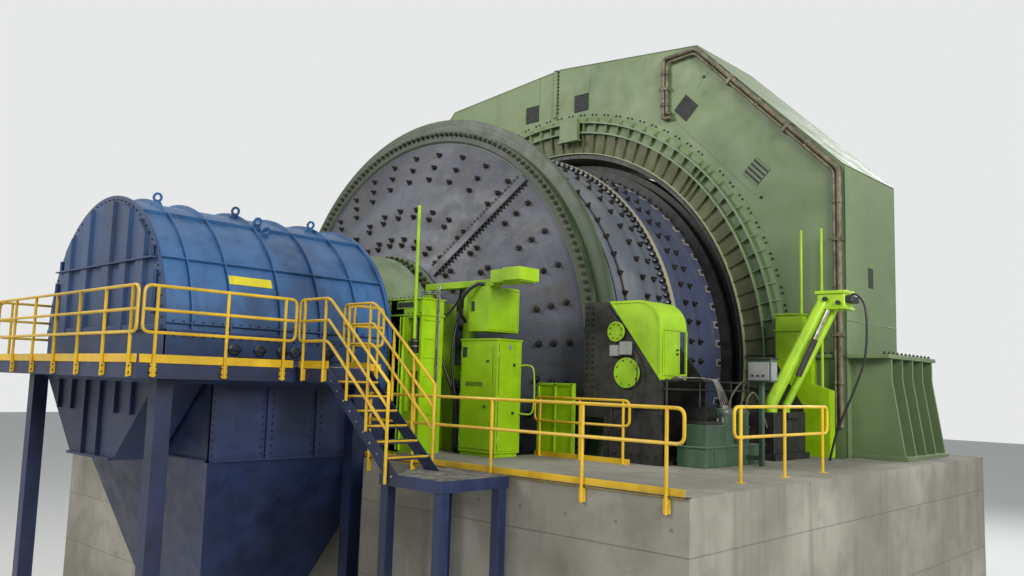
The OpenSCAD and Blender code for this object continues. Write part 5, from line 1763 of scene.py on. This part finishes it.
class MILL_OT_brake_fittings(bpy.types.Operator):
    """Rims of the covers, small boxes, frames, bolts and latches of the brakes"""

    bl_idname = "mill.brake_fittings"
    bl_label = "Brake fittings"

    def execute(self, context):
        face, front, door = BRAKE_FACE, BRAKE_FACE - 0.04, 6.886
        rims, bolts, greys, frames, dark, pipes = piles(6)
        for side in BOTH:
            def at(x, y, z):
                """Places beside one disc edge, x outwards."""
                return from_axis(side * np.asarray(x, float), y, z)

            for x, z, radius in COVERS:
                turned(rims, at(x, front, z), FORE,
                       [[radius + 0.012, -0.012], [radius + 0.012, 0.012], [radius - 0.012, 0.014],
                        [radius - 0.014, 0.004], [0.01, 0.003]], 40)
                a = np.arange(8) * math.tau / 8 + 0.3
                reach = radius - 0.035
                nuts(bolts, at(x + reach * np.cos(a), front - 0.003, z + reach * np.sin(a)),
                     FORE, 0.01, 0.012, 0.4)
            for x, low, high, deep in ((5.96, -0.07, 0.12, 0.08), (6.185, -0.05, 0.18, 0.1)):
                start, end = (at(x + d, face - deep / 2, (low + high) / 2) for d in (-0.1, 0.1))
                beams(greys, start, end, UP, high - low, deep, 0.08)
            for x in (5.29, 5.42):
                nuts(bolts, at(x, face, spaced(-1.05, 0.82, 0.11)), FORE, 0.018, 0.022, 0.7)
            nuts(bolts, at(spaced(5.95, 6.8, 0.17), face, -1.75), FORE, 0.018, 0.022, 0.7)
            beams(dark, at(5.86, -0.63, -1.84), at(5.86, -0.63, -0.95), RIGHT, 0.05, 0.03)
            beams(dark, at(5.83, -0.63, -0.95), at(6.85, -0.63, -0.95), UP, 0.05, 0.03)
            # The door beside the window, its frame and its latch
            beams(frames, at(door, -0.32, -0.36), at(door, -0.32, 0.37), AFT, 0.43, 0.014, 0.1)
            x, y, z = door + 0.004, [-0.57, -0.08, 0.155], [-0.38, 0.39]
            beams(frames, at(x, y, -0.4), at(x, y, 0.4), AFT, 0.026, 0.024)
            beams(frames, at(x, -0.58, z), at(x, 0.16, z), UP, 0.026, 0.024)
            nuts(bolts, at(door + 0.01, -0.16, [0.05, -0.02]), (side, 0, 0), 0.014, 0.03, 0.5)
            # Frame of the low guard beside the pit
            x, y, z = np.array([4.32, 4.72, 5.12]), -0.805, np.array([-1.85, -1.25, -0.6])
            beams(frames, at(4.31, y, z), at(5.13, y, z), UP, 0.05, 0.03)
            beams(frames, at(x, y, -1.88), at(x, y, -0.58), RIGHT, 0.05, 0.03)
        # Oil pipes from the stand to the unit, on the right side only
        for k in range(5):
            d = 0.08 * k
            path = np.array([[6.9, -0.42 + d, -0.5], [7.02, -0.42 + d, -0.42],
                             [7.14 - 0.02 * k, -0.3 + d, -0.42], [7.16 - 0.02 * k, 0.3 + d, -0.42],
                             [7.18, 0.62 + 0.5 * d, -0.5], [7.22, 0.8 + d, -0.95]])
            tube(pipes, smooth_path(path + [0, 0, AXIS_H], 40), 0.014, 8)
        rims.make("brake_cover_rims", "lime")
        bolts.make("brake_bolts", "nut")
        greys.make("brake_boxes", "grey")
        frames.make("brake_guard_frames", "lime")
        dark.make("brake_stand_ribs", "dark")
        pipes.make("brake_oil_pipes", "steel", smooth=True)
        return {"FINISHED"}


class MILL_OT_unit_fittings(bpy.types.Operator):
    """Valves, pump and covers of the oil unit, the control box and the jib"""

    bl_idname = "mill.unit_fittings"
    bl_label = "Oil unit and jib fittings"

    def execute(self, context):
        pale, dark, green, lime, bright = piles(5)
        g, pump_x, pump_z = GROUND, 7.28, GROUND + 0.86
        # The control box has a pale face plate, left bare, under a dark hood
        blocks(pale, ([7.63, 0.985, -0.42], [8.02, 1.01, -0.1]),
               ([8.04, 1.02, -0.42], [8.056, 1.23, -0.1]))
        blocks(dark, ([7.58, 0.93, -0.05], [8.07, 1.27, -0.025]), chamfer=0.005)
        turned(dark, from_axis([7.72, 7.82, 7.92], 0.985, -0.34), FORE,
               [[0.02, 0], [0.02, 0.015], [0.01, 0.02]], 14)
        blocks(green, ([6.98, -0.32, g + 0.32], [7.57, 1.77, g + 0.345]))
        foot = from_axis(7.55, [0.0, 0.45, 0.9, 1.35], g + 0.01)
        beams(green, foot, foot + [0, 0, 0.32], AFT, 0.03, 0.03)
        for y in TANK_Y:
            tube(bright, from_axis(TANK_X, y, [g + 0.96, g + 1.02]), 0.09, 18)
            for z in (g + 0.42, g + 0.62, g + 0.86):
                tube(green, from_axis(TANK_X, y, [z, z + 0.04]), 0.195, 26)
        # Pump motor with its fins
        tube(dark, from_axis(pump_x, [0.0, 0.34], pump_z), 0.13, 20)
        tube(green, from_axis(pump_x, [0.34, 0.44], pump_z), 0.09, 18)
        for y in spaced(0.02, 0.32, 0.03):
            tube(dark, from_axis(pump_x, [y, y + 0.008], pump_z), 0.142, 20)
        blocks(dark, ([7.12, -0.12, g + 0.34], [7.44, 0.42, g + 0.7]),
               ([7.12, -0.12, g + 0.7], [7.44, 0.42, g + 0.76]), chamfer=0.006)
        blocks(green, ([7.1, 0.5, g + 0.34], [7.42, 0.64, g + 0.75]), chamfer=0.012)
        turned(bright, from_axis([7.16, 7.26, 7.36], 0.57, g + 0.75), UP,
               [[0.03, -0.01], [0.03, 0.06], [0.015, 0.08]], 12)
        # Rack that carries the oil pipes
        for z in (-0.47, -0.62):
            tube(dark, from_axis(6.95, [-0.6, 2.28], z), 0.018, 8)
        for y in (-0.55, 0.5, 1.6, 2.26):
            tube(dark, from_axis(6.95, y, [-1.9, -0.44]), 0.02, 8)
        # Cylinder beside the jib's tube, its rod and pins, and the lime cheeks of its head
        path = from_axis([7.68, 8.12], [2.86, 3.24], [-0.3, 0.98])
        tube(bright, path, 0.035, 12)
        tube(dark, [path[0], path[0] + (path[1] - path[0]) * 0.55], 0.06, 14)
        for x, z, reach in ((8.05, 1.2, 0.27), (8.3, 1.12, 0.26)):
            tube(dark, from_axis(x, [3.49 - reach, 3.49 + reach], z), 0.045, 14)
        blocks(dark, ([8.41, 3.3, 1.12], [8.56, 3.66, 1.26]), chamfer=0.02)
        blocks(lime, ([7.84, 3.25, 1.3], [8.44, 3.73, 1.36]),
               ([7.84, 3.25, 1.0], [8.44, 3.73, 1.03]), chamfer=0.006)
        pale.make("control_box_faces", "grey")
        dark.make("unit_dark_parts", "dark")
        green.make("unit_green_parts", "unit")
        lime.make("jib_plates", "lime")
        bright.make("unit_bright_parts", "steel")
        return {"FINISHED"}


class MILL_OT_concrete_fittings(bpy.types.Operator):
    """Edge angles and tie marks of the concrete, and ribs and bolts of the feed chute"""

    bl_idname = "mill.concrete_fittings"
    bl_label = "Concrete and feed end"

    def execute(self, context):
        out, end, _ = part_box("motor_pier_right")[1]
        edge, marks, bolts, blue = piles(4)
        top, level, front = FLOOR_H + 0.003, spaced(1.1, 6.3, 1.2), FLOOR_FRONT
        for side in BOTH:
            beams(edge, [side * SLAB_IN, front, top], [side * out, front, top], AFT, 0.09, 0.012)
            beams(edge, [side * 5.66, -0.68, top], [side * 5.66, end, top], RIGHT, 0.07, 0.012)
            on_front = grid(side * spaced(5.9, 9.2, 0.82), [front], level)
            on_side = grid([side * (out - 0.003)], spaced(-3.5, 7.8, 1.1), level)
            for at, way in ((on_front, FORE), (on_side, (side, 0, 0))):
                turned(marks, at, way, [[0.026, -0.002], [0.026, 0.003], [0.012, 0.002]], 12)
        half, y1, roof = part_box("feed_chute")[1]
        y0 = y1 - 2.2
        z = spaced(1.2, roof - 0.1, 1.55)
        y = np.array([y0 + 0.06, y0 + 0.75, y1 - 0.75, y1 - 0.06])
        for side in BOTH:
            x = side * (half + 0.02)
            beams(blue, grid([x], [y0], z), grid([x], [y1], z), UP, 0.1, 0.1)
            beams(blue, grid([x], y, [0.02]), grid([x], y, [roof]), AFT, 0.08, 0.08)
            at = grid([side * (half + 0.07)], spaced(y0 + 0.1, y1 - 0.1, 0.29), z)
            nuts(bolts, at, (side, 0, 0), 0.018, 0.02, 0.6)
        hoop(blue, 1.18, 1.36, y0 - 0.06, y0, n=90)
        nuts(bolts, round_axis(1.29, np.arange(36) * 10.0, y0 - 0.06), FORE, 0.022, 0.025, 0.6)
        # Edge angles and chute ribs in the painted shade blue
        edge.make("edge_angles", "deep")
        marks.make("tie_marks", "mark")
        blue.make("feed_chute_ribs", "deep")
        bolts.make("feed_chute_bolts", "nut")
        return {"FINISHED"}


class MILL_OT_stage(bpy.types.Operator):
    """Floor, soft lamps, world and camera"""

    bl_idname = "mill.stage"
    bl_label = "Stage"

    def execute(self, context):
        scene = context.scene
        reach = 160.0
        s = Sheet("studio_floor")
        at = s.place()
        s.finish(s.mix(s.noise(at, 0.05, 2), tone(222, 222, 219), tone(226, 226, 223)), 0.9)
        mesh = bpy.data.meshes.new("studio_floor")
        corners = [(-1, -1), (1, -1), (1, 1), (-1, 1)]
        mesh.from_pydata([(reach * x, reach * y, -0.002) for x, y in corners], [], [(0, 1, 2, 3)])
        mesh.materials.append(s.material)
        floor = bpy.data.objects.new("studio_floor", mesh)
        scene.collection.objects.link(floor)

        # The camera and mirrors see a pale backdrop, and a cooler, weaker fill lights the mill
        scene.world = bpy.data.worlds.new("studio")
        s = Sheet("studio", scene.world)
        rays = s.node("ShaderNodeLightPath").outputs
        camera_ray, glossy, through = (
            Value(s, rays[f"Is {kind} Ray"]) for kind in ("Camera", "Glossy", "Transmission"))
        seen = s.math("MAXIMUM", s.math("MAXIMUM", camera_ray, glossy), through)
        fill = s.out("ShaderNodeBackground", None, {0: (0.92, 0.96, 1.0, 1), 1: 0.38})
        back = s.out("ShaderNodeBackground", None, {0: (0.80, 0.81, 0.81, 1), 1: 1.0})
        mixed = s.out("ShaderNodeMixShader", None, {0: seen, 1: fill, 2: back})
        s.node("ShaderNodeOutputWorld", None, {0: mixed})

        def lamp(name, at, aim, size, power, colour=(1, 1, 1)):
            data = bpy.data.lights.new(name, "AREA")
            data.shape, data.size, data.energy, data.color = "DISK", size, power, colour
            made = bpy.data.objects.new(name, data)
            scene.collection.objects.link(made)
            made.location = at
            made.rotation_euler = (Vector(aim) - Vector(at)).to_track_quat("-Z", "Y").to_euler()

        lamp("key_lamp", (-18, -30, 30), (0, 1, 8), 16, 10500, (1.0, 0.98, 0.95))
        lamp("side_lamp", (36, -10, 22), (0, 3, 8), 16, 11500, (1.0, 1.0, 1.0))
        lamp("rear_lamp", (6, 44, 30), (0, 4, 8), 18, 9000, (0.95, 0.98, 1.0))

        camera = bpy.data.cameras.new("camera")
        view = bpy.data.objects.new("camera", camera)
        scene.collection.objects.link(view)
        # Place, directions and focal length fitted to circles and straight edges of the photo
        yaw, pitch, roll = (math.radians(v) for v in (43.3035, 6.2358, 1.712))
        focal_px, image_px, sensor = 865.93, 1024, 36.0
        camera.sensor_width = sensor
        camera.lens = focal_px / image_px * sensor
        camera.clip_end = 600.0
        forward = Vector((-math.sin(yaw) * math.cos(pitch), math.cos(yaw) * math.cos(pitch),
                          math.sin(pitch)))
        right = forward.cross(Vector(UP)).normalized()
        up = right.cross(forward)
        right2 = math.cos(roll) * right + math.sin(roll) * up
        up2 = -math.sin(roll) * right + math.cos(roll) * up
        turn = Matrix((right2, up2, -forward)).transposed().to_4x4()
        view.matrix_world = Matrix.Translation((15.061, -13.0145, 8.012)) @ turn
        scene.camera = view
        scene.view_settings.view_transform = "Standard"
        return {"FINISHED"}


STEPS = (
    MILL_OT_finishes,
    MILL_OT_concrete_forms,
    MILL_OT_motor_forms,
    MILL_OT_bearing_forms,
    MILL_OT_hood_forms,
    MILL_OT_access_forms,
    MILL_OT_side_forms,
    MILL_OT_head_bolts,
    MILL_OT_flange_bolts,
    MILL_OT_shell_bolts,
    MILL_OT_collar_fittings,
    MILL_OT_motor_fittings,
    MILL_OT_pipe_fittings,
    MILL_OT_hood_fittings,
    MILL_OT_walkway_fittings,
    MILL_OT_cabinet_fittings,
    MILL_OT_bearing_fittings,
    MILL_OT_hoses,
    MILL_OT_brake_fittings,
    MILL_OT_unit_fittings,
    MILL_OT_concrete_fittings,
    MILL_OT_stage,
)


class MILL_PT_panel(bpy.types.Panel):
    """Lists the steps that dress the mill"""

    bl_idname = "MILL_PT_panel"
    bl_label = "Grinding mill"
    bl_space_type = "VIEW_3D"
    bl_region_type = "UI"
    bl_category = "Mill"

    def draw(self, context):
        for group in (context.scene.mill_sizes, context.scene.mill_colours):
            for name in group.__annotations__:
                self.layout.prop(group, name)
        for step in STEPS:
            self.layout.operator(step.bl_idname)


CLASSES = (MillSizes, MillColours, *STEPS, MILL_PT_panel)


def register():
    for made in CLASSES:
        bpy.utils.register_class(made)
    bpy.types.Scene.mill_sizes = PointerProperty(type=MillSizes)
    bpy.types.Scene.mill_colours = PointerProperty(type=MillColours)


def unregister():
    del bpy.types.Scene.mill_colours
    del bpy.types.Scene.mill_sizes
    for made in reversed(CLASSES):
        bpy.utils.unregister_class(made)


def main():
    """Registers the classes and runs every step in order."""
    register()
    for step in STEPS:
        group, name = step.bl_idname.split(".")
        if getattr(getattr(bpy.ops, group), name)() != {"FINISHED"}:
            raise RuntimeError(f"step {step.bl_idname} did not finish")


if __name__ == "__main__":
    main()
